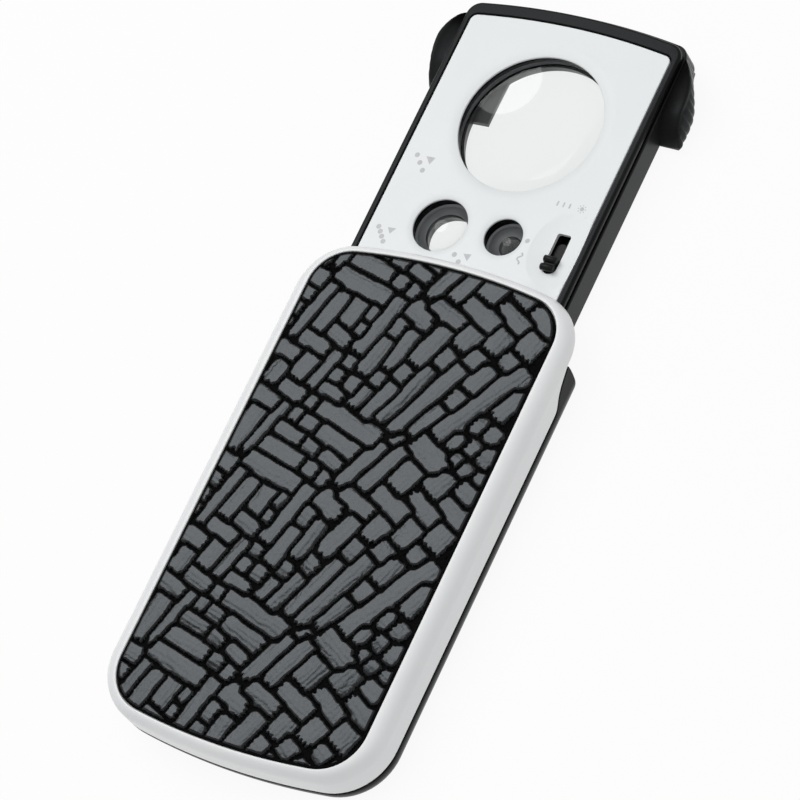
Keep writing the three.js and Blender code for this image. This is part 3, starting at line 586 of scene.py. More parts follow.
def rounded_distance(x, y, spec, inset=0.0):
    """Distance outside an outline, negative inside, for arrays of points."""
    far = []
    side = spec["half"] - inset
    for sign, bow_y, radius, cx, cy, small in outline_ends(spec, inset):
        ends = np.hypot(x, y - bow_y) - radius
        ends = np.where(sign * (y - bow_y) > 0, ends, -99.0)
        past = (np.abs(x) > cx) & (sign * (y - cy) > 0)
        angle_ok = sign * (y - bow_y) * cx < np.abs(x) * sign * (cy - bow_y)
        corner_far = np.hypot(np.abs(x) - cx, y - cy) - small
        far.append(np.where(past & angle_ok, corner_far, ends))
    return np.maximum(np.maximum(far[0], far[1]), np.abs(x) - side)


def outward(x, y, spec, inset, step):
    """The direction straight away from an outline, at points near it."""
    across = rounded_distance(x + step, y, spec, inset) - rounded_distance(x - step, y, spec, inset)
    along = rounded_distance(x, y + step, spec, inset) - rounded_distance(x, y - step, spec, inset)
    return across / (2 * step), along / (2 * step)


def emboss_height(x, y):
    """The panel's relief, 0 in a groove and 1 on a block. Blocks grow until a narrow groove is left."""
    rng = np.random.default_rng(RELIEF_SEED)
    rel = y - LENS_Y
    warp_x = sum(amount * value_noise(x, y, cell, rng) for amount, cell in WARP)
    warp_y = sum(amount * value_noise(x, y, cell, rng) for amount, cell in WARP)
    ragged = value_noise(x, y, 0.5, rng)
    swell = value_noise(x, y, 1.7, rng)
    px, py = x + warp_x, rel + warp_y
    nearest = np.full(x.shape, 9.0)
    second = np.full(x.shape, 9.0)
    top = np.zeros_like(x)
    ends = np.zeros_like(x)
    bites = np.zeros_like(x)
    blocks = [((x0 + x1) / 2, (y0 + y1) / 2, math.hypot(x1 - x0, y1 - y0), w, math.atan2(y1 - y0, x1 - x0))
              for x0, y0, x1, y1, w in BARS]
    blocks += [(cx, cy, long, wide, math.radians(TILE_LEAN[cx >= 0])) for cx, cy, long, wide in TILES]
    for repeat in (1, 0, -1):
        for cx, cy, long, wide, angle in blocks:
            cy += REPEAT * repeat
            tilt_u, tilt_v, lift = rng.uniform(-0.1, 0.1), rng.uniform(-0.16, 0.16), rng.uniform(-0.16, 0)
            pitch, shift, cut = rng.uniform(0.9, 1.6), rng.uniform(0, 1), rng.uniform(0.1, 0.9)
            reach = long / 2 + wide + 1
            rows = np.abs(x[:, 0] - cx) < reach
            columns = np.abs(rel[0] - cy) < reach
            if not rows.any() or not columns.any():
                continue
            area = np.ix_(rows, columns)
            dx, dy = px[area] - cx, py[area] - cy
            u = dx * math.cos(angle) + dy * math.sin(angle)
            v = -dx * math.sin(angle) + dy * math.cos(angle)
            half_u, half_v = long / 2, wide / 2
            qu, qv = np.abs(u) - half_u + BLOCK_ROUND, np.abs(v) - half_v + BLOCK_ROUND
            away = (np.hypot(np.maximum(qu, 0), np.maximum(qv, 0))
                    + np.minimum(np.maximum(qu, qv), 0) - BLOCK_ROUND)
            # One end is torn into a few pointed notches
            torn = -u if abs(angle) < math.radians(45) and cx > TORN_LEFT_BEYOND else u
            teeth = np.abs(((v / pitch + shift) % 1) * 2 - 1)
            bitten = cut * teeth**2 * smoothstep(half_u - 1.2, half_u + 0.1, torn)
            streaks = 0.015 * np.sin(v * (5 + 2 * shift) + 1.5 * swell[area] + 6 * shift)
            crown = 1 - 0.1 * (v / half_v) ** 2 - 0.03 * (u / half_u) ** 4 + streaks
            level = np.clip(crown + lift + tilt_u * u / half_u + tilt_v * v / half_v, LEAST_TOP, 1)
            at_end = smoothstep(-1.1, 0, np.abs(u) - half_u)
            closer = away < nearest[area]
            second[area] = np.where(closer, nearest[area], np.minimum(second[area], away))
            nearest[area] = np.where(closer, away, nearest[area])
            top[area] = np.where(closer, level, top[area])
            ends[area] = np.where(closer, at_end, ends[area])
            bites[area] = np.where(closer, bitten, bites[area])
    middle = (second - nearest) / 2
    groove = (GROOVE_HALF + GROOVE_SWELL * np.maximum(swell, 0)
              + ends * (END_GAP + END_RAGGED * np.maximum(ragged, 0)) + RAGGED * ragged + bites)
    # A block grows no further than this where no other block meets it
    grown = smoothstep(0.85, 0.45, nearest + 0.15 * ragged)
    return smoothstep(0, WALL_RUN, middle - groove) * grown * top


def leather_panel():
    xs = np.arange(-PANEL["half"] - GRID, PANEL["half"] + GRID * 1.5, GRID)
    ys = np.arange(PANEL["bottom"] - GRID, PANEL["top"] + GRID * 1.5, GRID)
    x, y = np.meshgrid(xs, ys, indexing="ij")
    away = rounded_distance(x, y, PANEL, PANEL_INSET)
    height = emboss_height(x, y)
    rng = np.random.default_rng(TEXTURE_SEED)
    creases = np.abs(value_noise(x, y, 0.5, rng)) * 0.3
    ripples = 0.006 * value_noise(x, y, 0.7, rng) + 0.005 * value_noise(x, y, 1.6, rng)
    z = GROOVE_Z + EMBOSS * height + creases * (1 - height) ** 1.5 + ripples * height
    z = np.clip(z, PANEL_BOTTOM + 0.02, PANEL_TOP)
    # A smooth strip just below the rim runs round the panel
    strip = smoothstep(-0.62, -0.4, away)
    z = z + (RIM_TOP - 0.04 - 0.08 * smoothstep(-0.2, 0, away) - z) * strip
    # Faces in the grooves and on the strip take the darker leather: painted shade
    dark = (height < 0.5) | (strip > 0.5)
    # Points next to the outline move onto it
    slope_x, slope_y = outward(x, y, PANEL, PANEL_INSET, GRID / 2)
    inside = away < GRID / 2
    whole = inside[:-1, :-1] & inside[1:, :-1] & inside[1:, 1:] & inside[:-1, 1:]
    faces_at = np.zeros(x.shape, int)
    for di in (0, 1):
        for dj in (0, 1):
            faces_at[di:x.shape[0] - 1 + di, dj:x.shape[1] - 1 + dj] += whole
    used = faces_at > 0
    rim = used & (faces_at < 4)
    x = np.where(rim, x - slope_x * away, x)
    y = np.where(rim, y - slope_y * away, y)
    index = np.full(x.shape, -1)
    index[used] = np.arange(used.sum())
    points = np.column_stack([x[used], y[used], z[used]])
    i, j = np.nonzero(whole)
    faces = np.column_stack([index[i, j], index[i + 1, j], index[i + 1, j + 1], index[i, j + 1]]).tolist()
    panel = make("leather_panel_body", points, faces, 0)
    mostly_painted_shade = (dark[i, j].astype(int) + dark[i + 1, j] + dark[i + 1, j + 1] + dark[i, j + 1]) > 2
    data = bmesh.new()
    data.from_mesh(panel.data)
    border = [e for e in data.edges if e.is_boundary]
    made = bmesh.ops.extrude_edge_only(data, edges=border)["geom"]
    for vertex in (v for v in made if isinstance(v, bmesh.types.BMVert)):
        vertex.co.z = PANEL_BOTTOM * MM
    low_edges = [e for e in made if isinstance(e, bmesh.types.BMEdge) and e.is_boundary]
    bmesh.ops.contextual_create(data, geom=low_edges)
    bmesh.ops.recalc_face_normals(data, faces=data.faces)
    data.to_mesh(panel.data)
    data.free()
    finish_normals(panel, 60)
    dress(panel, "leather", "sleeve", ["leather_panel"], flat_normals=False)
    # The second material, darker and duller, is painted shade in the grooves and along the strip round the
    # edge
    panel.data.materials.append(MATERIALS["leather_painted_shade"])
    for face, groove in zip(panel.data.polygons, mostly_painted_shade):
        face.material_index = int(groove)
    for face in panel.data.polygons[len(mostly_painted_shade):]:
        face.material_index = 1


# ---- Slider ----
def upper_frame():
    upper_round, lower_round, neck_in, chamfer = 0.6, 0.35, 0.7, 0.12
    under = [ring(RAIL, i, RAIL_BOTTOM + lower_round - u) for i, u in corner_round(lower_round, 4)][::-1]
    rings = [
        ring(RAIL, neck_in, NECK_BOTTOM),
        ring(RAIL, neck_in, RAIL_BOTTOM - 0.15),
        ring(RAIL, neck_in - 0.08, RAIL_BOTTOM),
        *under,
        *[ring(RAIL, i, PLATE_TOP - upper_round + u) for i, u in corner_round(upper_round, 8)],
        ring(PLATE, -CLEAR - chamfer, PLATE_TOP),
        ring(PLATE, -CLEAR, PLATE_TOP - chamfer),
        ring(PLATE, -CLEAR, PLATE_BOTTOM - CLEAR),
    ]
    body = loft("upper_frame_body", rings)
    tools = [tube_cutter("opening", lens.x, lens.y, lens.opening + 0.25, BELOW, ABOVE) for lens in LENSES]
    way = (SLOT_BOTTOM - 3.5, SLOT_TOP + 4.2)
    tools.append(block("switch_way", around(SLOT_X, 3.2), way, (BELOW, ABOVE)))
    combine(body, tools)
    dress(body, "black_plastic", "slider", ["upper_frame"])


# A shallow hollow in the plate round the switch: the ellipsoid that cuts it
DISH_CENTRE = (18.2, LENS_Y - 23.8, PLATE_TOP + 3.5)
DISH_AXES = (13.0, 16.5, 4.0)


def faceplate():
    rings = [
        ring(PLATE, 0.1, PLATE_BOTTOM),
        ring(PLATE, 0, PLATE_BOTTOM + 0.1),
        *[ring(PLATE, i, PLATE_TOP - 0.2 + u) for i, u in corner_round(0.2, 5)],
    ]
    plate = loft("faceplate_body", rings)
    combine(plate, [ellipsoid("dish", DISH_CENTRE, DISH_AXES)])
    under = 5
    tools = []
    for lens in LENSES:
        # The plate's edge dips and flares into the opening, wider and deeper round a larger one
        opening = lens.opening
        width = 0.9 + opening * 0.1
        dip = 0.2 + opening * 0.008
        section = [(0, under), (opening + 0.5, under), (opening + 0.5, PLATE_TOP - dip - 0.75),
                   (opening, PLATE_TOP - dip - 0.4), (opening, PLATE_TOP - dip - 0.1)]
        section += [(opening + 0.1 + width * t, PLATE_TOP - 0.005 - dip * (1 - t) ** 2)
                    for t in np.linspace(0, 1, 12)]
        section += [(opening + width + 0.3, PLATE_TOP + 0.3), (0, PLATE_TOP + 0.3)]
        tools.append(lathe("flare", section, lens.x, lens.y, 144))
    tools.append(prism("slot", slot_outline(), under, ABOVE))
    combine(plate, tools, smooth=28)
    dress(plate, "plate_plastic", "slider", ["faceplate"])


def slot_outline():
    """The switch slot: half a circle at its lower end, small corners at its upper end."""
    half, r = SLOT_HALF, 0.5
    turn = [(SLOT_X + half * math.cos(a), SLOT_BOTTOM + half + half * math.sin(a))
            for a in np.linspace(math.pi, TURN, 25)]
    top_right = [(SLOT_X + half - r + r * math.cos(a), SLOT_TOP - r + r * math.sin(a))
                 for a in np.linspace(0, math.pi / 2, 7)]
    top_left = [(SLOT_X - half + r + r * math.cos(a), SLOT_TOP - r + r * math.sin(a))
                for a in np.linspace(math.pi / 2, math.pi, 7)]
    return [*turn, *top_right, *top_left]


def ellipsoid(name, centre, axes):
    data = bmesh.new()
    bmesh.ops.create_uvsphere(data, u_segments=128, v_segments=96, radius=1)
    for vertex in data.verts:
        vertex.co = Vector([(c + a * v) * MM for c, a, v in zip(centre, axes, vertex.co)])
    return wrap(name, new_mesh(name, data))


def lower_case():
    foot_round, top_round = 0.5, 0.35
    rings = [
        *[ring(CASE, foot_round - (foot_round - i), CASE_BOTTOM + foot_round - u)
          for i, u in reversed(corner_round(foot_round, 5))],
        *[ring(CASE, i, CASE_TOP - top_round + u) for i, u in corner_round(top_round, 4)],
        ring(CASE, CASE_WALL, CASE_TOP),
        ring(CASE, CASE_WALL, CASE_BOTTOM + CASE_FLOOR),
    ]
    body = loft("lower_case_body", rings)
    added = []
    for lens in LENSES:
        wall = lens.radius + CLEAR + BARREL_WALL
        added.append(tube_cutter("barrel", lens.x, lens.y, wall, CASE_BOTTOM + 0.1, RIM_Z, 128))
    for x, y in screw_places("case_screw"):
        added.append(tube_cutter("post", x, y, POST_RADIUS, CASE_BOTTOM + 0.1, POST_TOP, 40))
    added += [
        block("cell_wall", (-20.8, 20.8), (CELL_Y - 8, CELL_Y - 7), (CASE_BOTTOM + 0.2, 6.8), 0.1),
        block("door_seat", (-4.2, 4.2), (DOOR_EDGE, DOOR_EDGE + TAB + 1), (CASE_BOTTOM + 0.1, 4.1)),
    ]
    combine(body, added, "UNION")
    tools = [lathe("bore", bore_section(lens), lens.x, lens.y, 128) for lens in LENSES]
    tools += [
        block("doorway", (-DOOR_HALF, DOOR_HALF), (CELL_Y - DOOR_DEPTH / 2, DOOR_EDGE), (BELOW, 3.5)),
        block("tabway", (-TAB_HALF - CLEAR, TAB_HALF + CLEAR), (DOOR_EDGE - 1, DOOR_EDGE + TAB + CLEAR),
              (BELOW, DOOR_TOP + CLEAR)),
    ]
    section = [(0, BELOW), (2.6, BELOW), (2.4, CASE_BOTTOM), (1.8, 2.7), (1.8, 3.5), (0, 3.5)]
    for node in LAMPS:
        tools.append(lathe("led_hole", section, *centre_mm(node)[:2], 48))
    for x, y in screw_places("case_screw"):
        tools.append(tube_cutter("head_hole", x, y, HEAD_HOLE, BELOW, 3.2, 48))
        tools.append(tube_cutter("shank_hole", x, y, SHANK_HOLE, 3, 5, 32))
    combine(body, tools)
    pieces = [body, lamp_tab(), grip(-1), grip(1)]
    lug_y = (TAIL_Y + LUG_START, TAIL_Y + LUG_END)
    pieces += [block(f"stop_lug_{SIDES[side]}", around(side * LUG_X, LUG_HALF), lug_y, LUG_Z, 0.25)
               for side in (-1, 1)]
    for piece in pieces:
        dress(piece, "case_plastic", "slider", ["lower_case"])


def bore_section(lens):
    """A lens barrel's bore: the lens's seat, a recess for its lower face and a narrower window below."""
    window, recess, bore = lens.window, lens.radius - lens.ledge, lens.radius + CLEAR
    seat_z = RIM_Z - lens.rim - CLEAR
    floor_z = seat_z - lens.rise
    flare = 0.25
    section = [(0, BELOW), (window + flare + 3, BELOW), (window + flare, CASE_BOTTOM),
               (window, CASE_BOTTOM + flare)]
    if recess > window + 0.1:
        section += [(window, floor_z), (recess, floor_z)]
    return [*section, (recess, seat_z), (bore, seat_z), (bore, ABOVE), (0, ABOVE)]


def lamp_tab():
    """A tab that reaches into the largest barrel's window from its left."""
    largest = LENSES[0]
    reach = largest.window + 0.5
    bends = [math.pi - math.asin((LAMP_TAB[end] - largest.y) / reach) for end in ("top", "bottom")]
    shore = [(largest.x + reach * math.cos(a), largest.y + reach * math.sin(a))
             for a in np.linspace(*bends, 9)]
    edge = [(LAMP_TAB["edge"], LAMP_TAB["bottom"]), (LAMP_TAB["edge"], LAMP_TAB["top"])]
    return prism("lamp_tab", [*shore, *edge], CASE_BOTTOM, LAMP_TAB["height"])


# Pull grips, with y from the largest lens: the ridge between the smooth top and the ribbed side as (y, z)
# and (y, x), the side's widest line as (y, x, z), and its foot as (y, x)
GRIP_RIDGE = [(5.2, 2.5), (6.6, 4.7), (9, 6.7), (12.5, 8.1), (16, 8.9), (18.5, 9.1), (19.8, 8.9), (20.6, 8.2),
              (21.4, 7)]
GRIP_RIDGE_X = [(5.2, 27.8), (9, 27.9), (13, 28.15), (15, 27.9), (17, 27.05), (19, 25.7), (20, 24.8),
                (21.4, 23.7)]
GRIP_WIDEST = [(5.2, 28, 2.2), (6.6, 28.55, 3.05), (9, 29.4, 4.2), (11, 29.7, 5.2), (13, 29.2, 6.2),
               (15, 28.3, 7.2), (17, 27.2, 7.9), (19, 25.85, 8.2), (20.4, 24.65, 7.8), (21.4, 23.8, 6.6)]
GRIP_FOOT_X = [(5.2, 27.3), (8.8, 27.4), (12, 27), (15, 25.8), (18, 24.6), (20.3, 23.7), (21.4, 23.5)]
GRIP_RIBS = 11
GRIP_SECTIONS, GRIP_SIDE_STEPS, GRIP_TOP_STEPS = 161, 16, 12
RIB_DEPTH = 0.45
RIDGE_BEAD = 0.2
GRIP_ROOT_X, GRIP_INNER_X = 24.2, 22.4
SOFT = 0.6  # how softly the grip's top levels off below the case's
SIDES = {-1: "left", 1: "right"}


def grip(side):
    """One pull grip: a smooth top, a ridge, and a ribbed side that tucks in below its widest line."""
    start, end = GRIP_RIDGE[0][0], GRIP_RIDGE[-1][0]
    ys = np.linspace(start, end, GRIP_SECTIONS)
    wide_xs = [float(curve_through([(a, x) for a, x, _ in GRIP_WIDEST], y)) for y in ys]
    wide_zs = [float(curve_through([(a, z) for a, _, z in GRIP_WIDEST], y)) for y in ys]
    run = np.concatenate([[0], np.cumsum(np.hypot(np.diff(ys), np.diff(wide_xs)))])
    rings = []
    for y, along, wide_x, wide_z in zip(ys, run / run[-1], wide_xs, wide_zs):
        ridge, ridge_x = float(curve_through(GRIP_RIDGE, y)), float(curve_through(GRIP_RIDGE_X, y))
        foot_x = float(curve_through(GRIP_FOOT_X, y))
        low, high = np.array((foot_x, CASE_BOTTOM)), np.array((ridge_x, ridge))
        bend = np.array((max(wide_x, ridge_x + 0.1) + 0.25, min(wide_z, ridge - 0.25)))
        rib = RIB_DEPTH * (1 - abs(math.sin(math.pi * along * GRIP_RIBS)) ** 0.6)
        outside = []
        for t in np.arange(GRIP_SIDE_STEPS + 1) / GRIP_SIDE_STEPS:
            p = (1 - t) ** 2 * low + 2 * t * (1 - t) * bend + t * t * high
            cut = rib * min(1, 3.2 * t) * min(1, 3.2 * (1 - t))
            outside.append((p[0] - cut, p[1] + 0.2 * cut))
        root_x = min(GRIP_ROOT_X, ridge_x - 0.5)
        root_z = -SOFT * math.log(math.exp(-(CASE_TOP - 0.2) / SOFT) + math.exp(-(ridge - 0.35) / SOFT))
        top = []
        for t in np.arange(1, GRIP_TOP_STEPS + 1) / GRIP_TOP_STEPS:
            sink = root_z + (ridge - root_z) * (1 - t) ** 1.6
            bead = RIDGE_BEAD * math.exp(-((t - 0.1) / 0.08) ** 2)
            top.append((ridge_x - 0.12 * min(1, 8 * t) + (root_x - ridge_x) * t, sink + bead))
        inner = min(GRIP_INNER_X, foot_x - 1.5)
        section = [(inner, CASE_BOTTOM), *outside, *top, (inner, root_z)]
        points = np.array([(side * x, LENS_Y + y, z) for x, z in section])
        rings.append(points if side < 0 else points[::-1])
    return loft(f"grip_{SIDES[side]}", rings, 40)


def lenses():
    chamfer = 0.1
    for node, x, y, _, radius, rim, rise, _, window in LENSES:
        flat = radius - 0.6
        dome = [(flat * t, rise * (1 - t * t)) for t in np.linspace(0, 1, 25)]
        lower = [(r, RIM_Z - rim - h) for r, h in dome]
        upper = [(r, RIM_Z + h) for r, h in reversed(dome)]
        profile = [*lower, (radius - chamfer, RIM_Z - rim), (radius, RIM_Z - rim + chamfer),
                   (radius, RIM_Z - chamfer), (radius - chamfer, RIM_Z), *upper]
        lens = lathe(node + "_body", profile, x, y, 160, 30)
        dress(lens, "lens", "slider", [node], flat_normals=False)
        # The edge and the outer part of the lower face take the grey finish: a painted reflection of the
        # barrel wall
        lens.data.materials.append(MATERIALS["lens_edge_painted_reflection"])
        for face in lens.data.polygons:
            reach = math.hypot(face.center.x / MM - x, face.center.y / MM - y)
            below = face.center.z / MM < RIM_Z - rim - 0.01
            face.material_index = int(reach > flat + 0.02 or (below and reach > window + 0.4))


def switch():
    half = STEM_HALF
    stem_points = [(SLOT_X + half * math.cos(a), STEM_Y - STEM_LONG + half + half * math.sin(a))
                   for a in np.linspace(math.pi, TURN, 17)]
    stem_points += [(SLOT_X + half, STEM_Y + STEM_LONG), (SLOT_X - half, STEM_Y + STEM_LONG)]
    stem = prism("switch_knob_body", stem_points, STEM_BOTTOM, KNOB_TOP - KNOB_RIB_RADIUS)
    half = SHUTTER_HALF
    tip_y = SLOT_BOTTOM + CLEAR + SHUTTER_REACH - half
    shutter_points = [(SLOT_X - half, STEM_Y - 0.3), (SLOT_X + half, STEM_Y - 0.3)]
    shutter_points += [(SLOT_X + half * math.cos(a), tip_y + half * math.sin(a))
                       for a in np.linspace(0, math.pi, 17)]
    ribs = [knob_rib(STEM_Y + step * KNOB_RIB_STEP) for step in (-1, 1)]
    combine(stem, [prism("shutter", shutter_points, *SHUTTER_Z), *ribs], "UNION")
    dress(stem, "knob_plastic", "switch", ["switch_knob"])


def knob_rib(y):
    """A round bar across the knob, with rounded ends."""
    end, radius = KNOB_RIB_END, KNOB_RIB_RADIUS
    rings = []
    for a in np.linspace(-math.pi / 2, math.pi / 2, 9):
        x = (KNOB_RIB_HALF - end) * np.sign(a) + end * math.sin(a) if abs(a) > 1e-6 else 0
        r = radius - end + end * math.cos(a)
        rings.append(np.array([(SLOT_X + x, y + r * math.cos(b), KNOB_TOP - radius + r * math.sin(b))
                               for b in np.linspace(0, TURN, 33)[:-1]]))
    return loft("rib", rings)


def battery_door():
    leaf = block("battery_door_body", (-DOOR_HALF + CLEAR, DOOR_HALF - CLEAR),
                 (CELL_Y - DOOR_DEPTH / 2 + CLEAR, DOOR_EDGE - CLEAR), (CASE_BOTTOM, DOOR_TOP), 0.22)
    tab = block("tab", (-TAB_HALF, TAB_HALF), (DOOR_EDGE - 1, DOOR_EDGE + TAB), (CASE_BOTTOM, DOOR_TOP), 0.22)
    combine(leaf, [tab], "UNION")
    screw_x, screw_y, _ = centre_mm("battery_door_screw")
    tools = [thumb_groove(DOOR_GRIP_X + i * DOOR_GRIP_STEP) for i in range(4)]
    tools.append(tube_cutter("head_hole", screw_x, screw_y, HEAD_HOLE, 0, 2.75, 48))
    tools.append(tube_cutter("shank_hole", screw_x, screw_y, SHANK_HOLE, 0, 10, 32))
    combine(leaf, tools)
    dress(leaf, "case_plastic", "slider", ["battery_door"])


def thumb_groove(x):
    """A cutter for one of the door's grooves: a round bar along Y with rounded ends."""
    low, high = around(CELL_Y, DOOR_GRIP_HALF)
    radius = DOOR_GRIP_RADIUS
    rings = []
    for y, r in ((low - radius, 0.02), (low - 0.7 * radius, 0.7 * radius), (low, radius), (high, radius),
                 (high + 0.7 * radius, 0.7 * radius), (high + radius, 0.02)):
        rings.append(np.array([(x + r * math.cos(b), y, CASE_BOTTOM + r * math.sin(b))
                               for b in np.linspace(0, TURN, 25)[:-1]]))
    return loft("groove", rings)


def screws():
    spots = [(f"shell_screw_{i}", "sleeve") for i in (1, 2, 3, 4)]
    spots += [(f"case_screw_{i}", "slider") for i in (1, 2, 3, 4)] + [("battery_door_screw", "slider")]
    for node, body in spots:
        low, high = box_mm(node)
        x, y, _ = centre_mm(node)
        z, length, head = low[2], high[2] - low[2], HEAD_RADIUS
        profile = [(0, z), (0.8, z), (1.15, z + 0.06), (1.36, z + 0.2), (head, z + 0.42), (head, z + 0.74),
                   (head - 0.06, z + 0.8), (0.72, z + 0.8)]
        for turn in range(int((length - 1.6) / SCREW_PITCH)):
            at = z + 0.95 + turn * SCREW_PITCH
            profile += [(0.52, at), (0.7, at + SCREW_PITCH / 2)]
        profile += [(0.5, z + length - 0.5), (0, z + length)]
        screw = lathe(node + "_body", profile, x, y, 40)
        combine(screw, [block("cross", around(x, a), around(y, b), (z - 1, z + 0.5))
                        for a, b in ((0.8, 0.17), (0.17, 0.8))])
        dress(screw, "steel", body, [node])


def lamps():
    for node in LAMPS:
        low, high = box_mm(node)
        x, y, _ = centre_mm(node)
        z, top = low[2], high[2]
        profile = [(LAMP_DOME * math.sin(a), z + LAMP_DOME_HIGH - LAMP_DOME_HIGH * math.cos(a))
                   for a in np.linspace(0, math.pi / 2, 14)]
        profile += [(LAMP_DOME, z + 1.4), (LAMP_FLANGE - 0.04, z + 1.44), (LAMP_FLANGE, z + 1.5),
                    (LAMP_FLANGE, top - 0.05), (0, top)]
        lamp = lathe(node + "_body", profile, x, y, 64)
        dress(lamp, "resin", "slider", [node], flat_normals=False)


# ---- Printed marks on the plate: generic signs in place of lettering ----
MARK_SUNK, MARK_RAISED = 0.02, 0.012
LAMP_SIGN_X, LAMP_SIGN_Y = 18.6, LENS_Y - 14.6
RAY_SIGN_X, RAY_SIGN_Y, RAY_STEP = 11, LENS_Y - 26, 0.3
# Each lens's pointer, the first and last dots of its row, and their number, with y from the largest lens
POINTERS = {
    "lens_30x": ([(-17.07, -11.65), (-15.07, -11.54), (-15.67, -13.19)],
                 (-19.05, -11.81), (-16.52, -14.66), 3),
    "lens_60x": ([(-17.78, -27.67), (-16.01, -27.48), (-16.8, -28.89)],
                 (-19.69, -27.96), (-17.39, -30.69), 4),
    "lens_90x": ([(-0.27, -29.06), (1.44, -28.81), (1.09, -30.35)],
                 (-1.97, -29.68), (-0.53, -30.9), 2),
}


def plate_height(x, y):
    """The plate's upper face, which dips into the thumb hollow."""
    inside = 1 - ((x - DISH_CENTRE[0]) / DISH_AXES[0]) ** 2 - ((y - DISH_CENTRE[1]) / DISH_AXES[1]) ** 2
    dish = DISH_CENTRE[2] - DISH_AXES[2] * math.sqrt(inside) if inside > 0 else PLATE_TOP
    return min(PLATE_TOP, dish)


def mark(name, shapes):
    """Thin printed shapes, each a closed outline of points in plate coordinates, one mesh for all."""
    data = bmesh.new()
    for points in shapes:
        low, high = [[data.verts.new((x * MM, y * MM, (plate_height(x, y) + lift) * MM)) for x, y in points]
                     for lift in (-MARK_SUNK, MARK_RAISED)]
        data.faces.new(high)
        data.faces.new(low[::-1])
        for i in range(len(points)):
            j = (i + 1) % len(points)
            data.faces.new((low[i], low[j], high[j], high[i]))
    bmesh.ops.recalc_face_normals(data, faces=data.faces)
    print_piece = wrap(name, new_mesh(name, data), 30)
    dress(print_piece, "print_grey", "slider", flat_normals=False)


def dot(x, y, radius):
    return [(x + radius * math.cos(a), y + radius * math.sin(a)) for a in np.linspace(0, TURN, 21)[:-1]]


def bar(x0, y0, x1, y1, width):
    length = math.hypot(x1 - x0, y1 - y0)
    nx, ny = -(y1 - y0) / length * width / 2, (x1 - x0) / length * width / 2
    return [(x0 + nx, y0 + ny), (x0 - nx, y0 - ny), (x1 - nx, y1 - ny), (x1 + nx, y1 + ny)]


def marks():
    """Each lens has a pointer and a row of dots; the lamps have a sign of their own."""
    for node, (pointer, first, last, count) in POINTERS.items():
        shapes = [[(x, LENS_Y + y) for x, y in pointer]]
        first, last = np.array(first), np.array(last)
        for i in range(count):
            x, y = first + (last - first) * i / (count - 1)
            shapes.append(dot(x, LENS_Y + y, 0.52))
        mark(f"mark_{node}", shapes)
    lamp = [bar(x, LENS_Y - 15.1, x, LENS_Y - 14.1, 0.34) for x in (13.4, 13.4 + 1.3, 13.4 + 2 * 1.3)]
    lamp.append(dot(LAMP_SIGN_X, LAMP_SIGN_Y, 0.42))
    for a in np.linspace(0, TURN, 9)[:-1]:
        start, end = [(LAMP_SIGN_X + r * math.cos(a), LAMP_SIGN_Y + r * math.sin(a)) for r in (0.6, 0.9)]
        lamp.append(bar(*start, *end, 0.16))
    mark("mark_lamp", lamp)
    bends = [(RAY_SIGN_X + 0.45 * math.sin(i * 1.1), RAY_SIGN_Y - i * RAY_STEP) for i in range(9)]
    wave = [bar(*start, *end, RAY_STEP) for start, end in zip(bends, bends[1:])]
    mark("mark_ray", [dot(RAY_SIGN_X, LENS_Y - 23.4, 0.48), *wave])


# ---- Kept CAD nodes ----
def dress_nodes():
    """Hidden inner pieces keep their CAD meshes and get a finish."""
    finishes = {
        "board": ["circuit_board"],
        "knob_plastic": ["switch_housing"],
        "resistor": ["resistor_1", "resistor_2"],
        "steel": ["button_cell_1", "button_cell_2", "button_cell_3", "cell_bridge_top", "cell_bridge_bottom",
                  "contact_positive", "contact_negative", "detent_spring_left", "detent_spring_right",
                  "switch_wiper"],
    }
    for finish, nodes in finishes.items():
        for node in nodes:
            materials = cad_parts[node].data.materials
            materials.clear()
            materials.append(MATERIALS[finish])


# ---- Floor, light and camera ----
FLOOR_HALF = 2500
FLOOR_GLOW, WORLD_STRENGTH = 0.93, 0.42
LIGHT_DISTANCE = 900
FOCAL_LENGTH = 178.17
CAMERA_PLACE = (0.36225, -0.21796, 0.60224)  # in metres
CAMERA_RIGHT, CAMERA_UP = (0.8348, 0.4172, -0.3592), (-0.2354, 0.8603, 0.4522)


def floor_material():
    material = bpy.data.materials.new("floor")
    material.use_nodes = True
    nodes, links = material.node_tree.nodes, material.node_tree.links
    shader = nodes["Principled BSDF"]
    coords = nodes.new("ShaderNodeTexCoord").outputs["Object"]
    patches = noise_node(nodes, links, coords, 3, 2)
    tone = ramp_node(nodes, links, patches.outputs["Fac"], [(0.3, grey(0.05)), (0.7, grey(0.055))])
    links.new(tone.outputs["Color"], shader.inputs["Base Color"])
    shader.inputs["Roughness"].default_value = 1.0
    shader.inputs["Specular IOR Level"].default_value = 0.0
    shader.inputs["Emission Color"].default_value = (1, 1, 1, 1)
    shader.inputs["Emission Strength"].default_value = FLOOR_GLOW
    return material


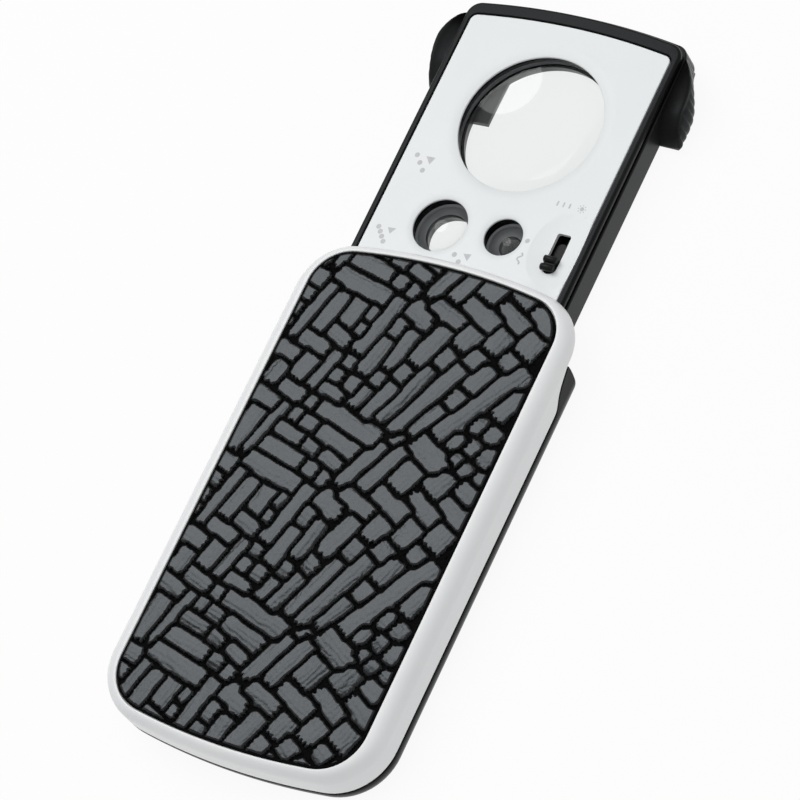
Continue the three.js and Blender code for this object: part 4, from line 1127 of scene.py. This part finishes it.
def stage():
    floor = block("floor", (-FLOOR_HALF, FLOOR_HALF), (-FLOOR_HALF, FLOOR_HALF), (-30, -0.02))
    floor.data.materials.append(floor_material())
    world = bpy.data.worlds.new("studio")
    bpy.context.scene.world = world
    world.use_nodes = True
    background = world.node_tree.nodes["Background"].inputs
    background["Color"].default_value = (1, 1, 1, 1)
    background["Strength"].default_value = WORLD_STRENGTH
    # The lenses don't take the key light, whose disc would show in them as a bright patch
    key = soft_light("key", (-0.4977, 0.2929, 0.8164), 560, 3.3)
    unlit = bpy.data.collections.new("no_key_reflection")
    for lens in LENSES:
        unlit.objects.link(bpy.data.objects[lens.node + "_body"])
    key.light_linking.receiver_collection = unlit
    for member in unlit.collection_objects:
        member.light_linking.link_state = "EXCLUDE"
    soft_light("overhead", (0.05, -0.02, 1.0), 640, 2.8).visible_glossy = False


def soft_light(name, direction, size, radiance):
    """A round area light, its size in millimetres, that shines at the origin from a direction."""
    lamp = bpy.data.lights.new(name, "AREA")
    lamp.shape = "DISK"
    lamp.size = size * MM
    lamp.energy = radiance * math.pi * math.pi * (size * MM / 2) ** 2
    light = bpy.data.objects.new(name, lamp)
    bpy.context.scene.collection.objects.link(light)
    towards = Vector(direction).normalized()
    light.location = towards * LIGHT_DISTANCE * MM
    light.rotation_euler = towards.to_track_quat("Z", "Y").to_euler()
    return light


def camera():
    right = Vector(CAMERA_RIGHT).normalized()
    back = right.cross(Vector(CAMERA_UP).normalized()).normalized()
    lens = bpy.data.cameras.new("camera")
    lens.sensor_width = 36
    lens.lens = FOCAL_LENGTH
    lens.clip_start = 0.01
    lens.clip_end = 20
    viewer = bpy.data.objects.new("camera", lens)
    bpy.context.scene.collection.objects.link(viewer)
    viewer.location = CAMERA_PLACE
    axes = np.array([right, back.cross(right), back]).T
    viewer.rotation_euler = Matrix(axes.tolist()).to_euler()
    bpy.context.scene.camera = viewer


front_shell()
back_shell()
leather_panel()
upper_frame()
faceplate()
lower_case()
lenses()
switch()
battery_door()
screws()
lamps()
marks()
dress_nodes()
stage()
camera()
bpy.context.scene.view_settings.view_transform = "Standard"
bpy.context.view_layer.update()
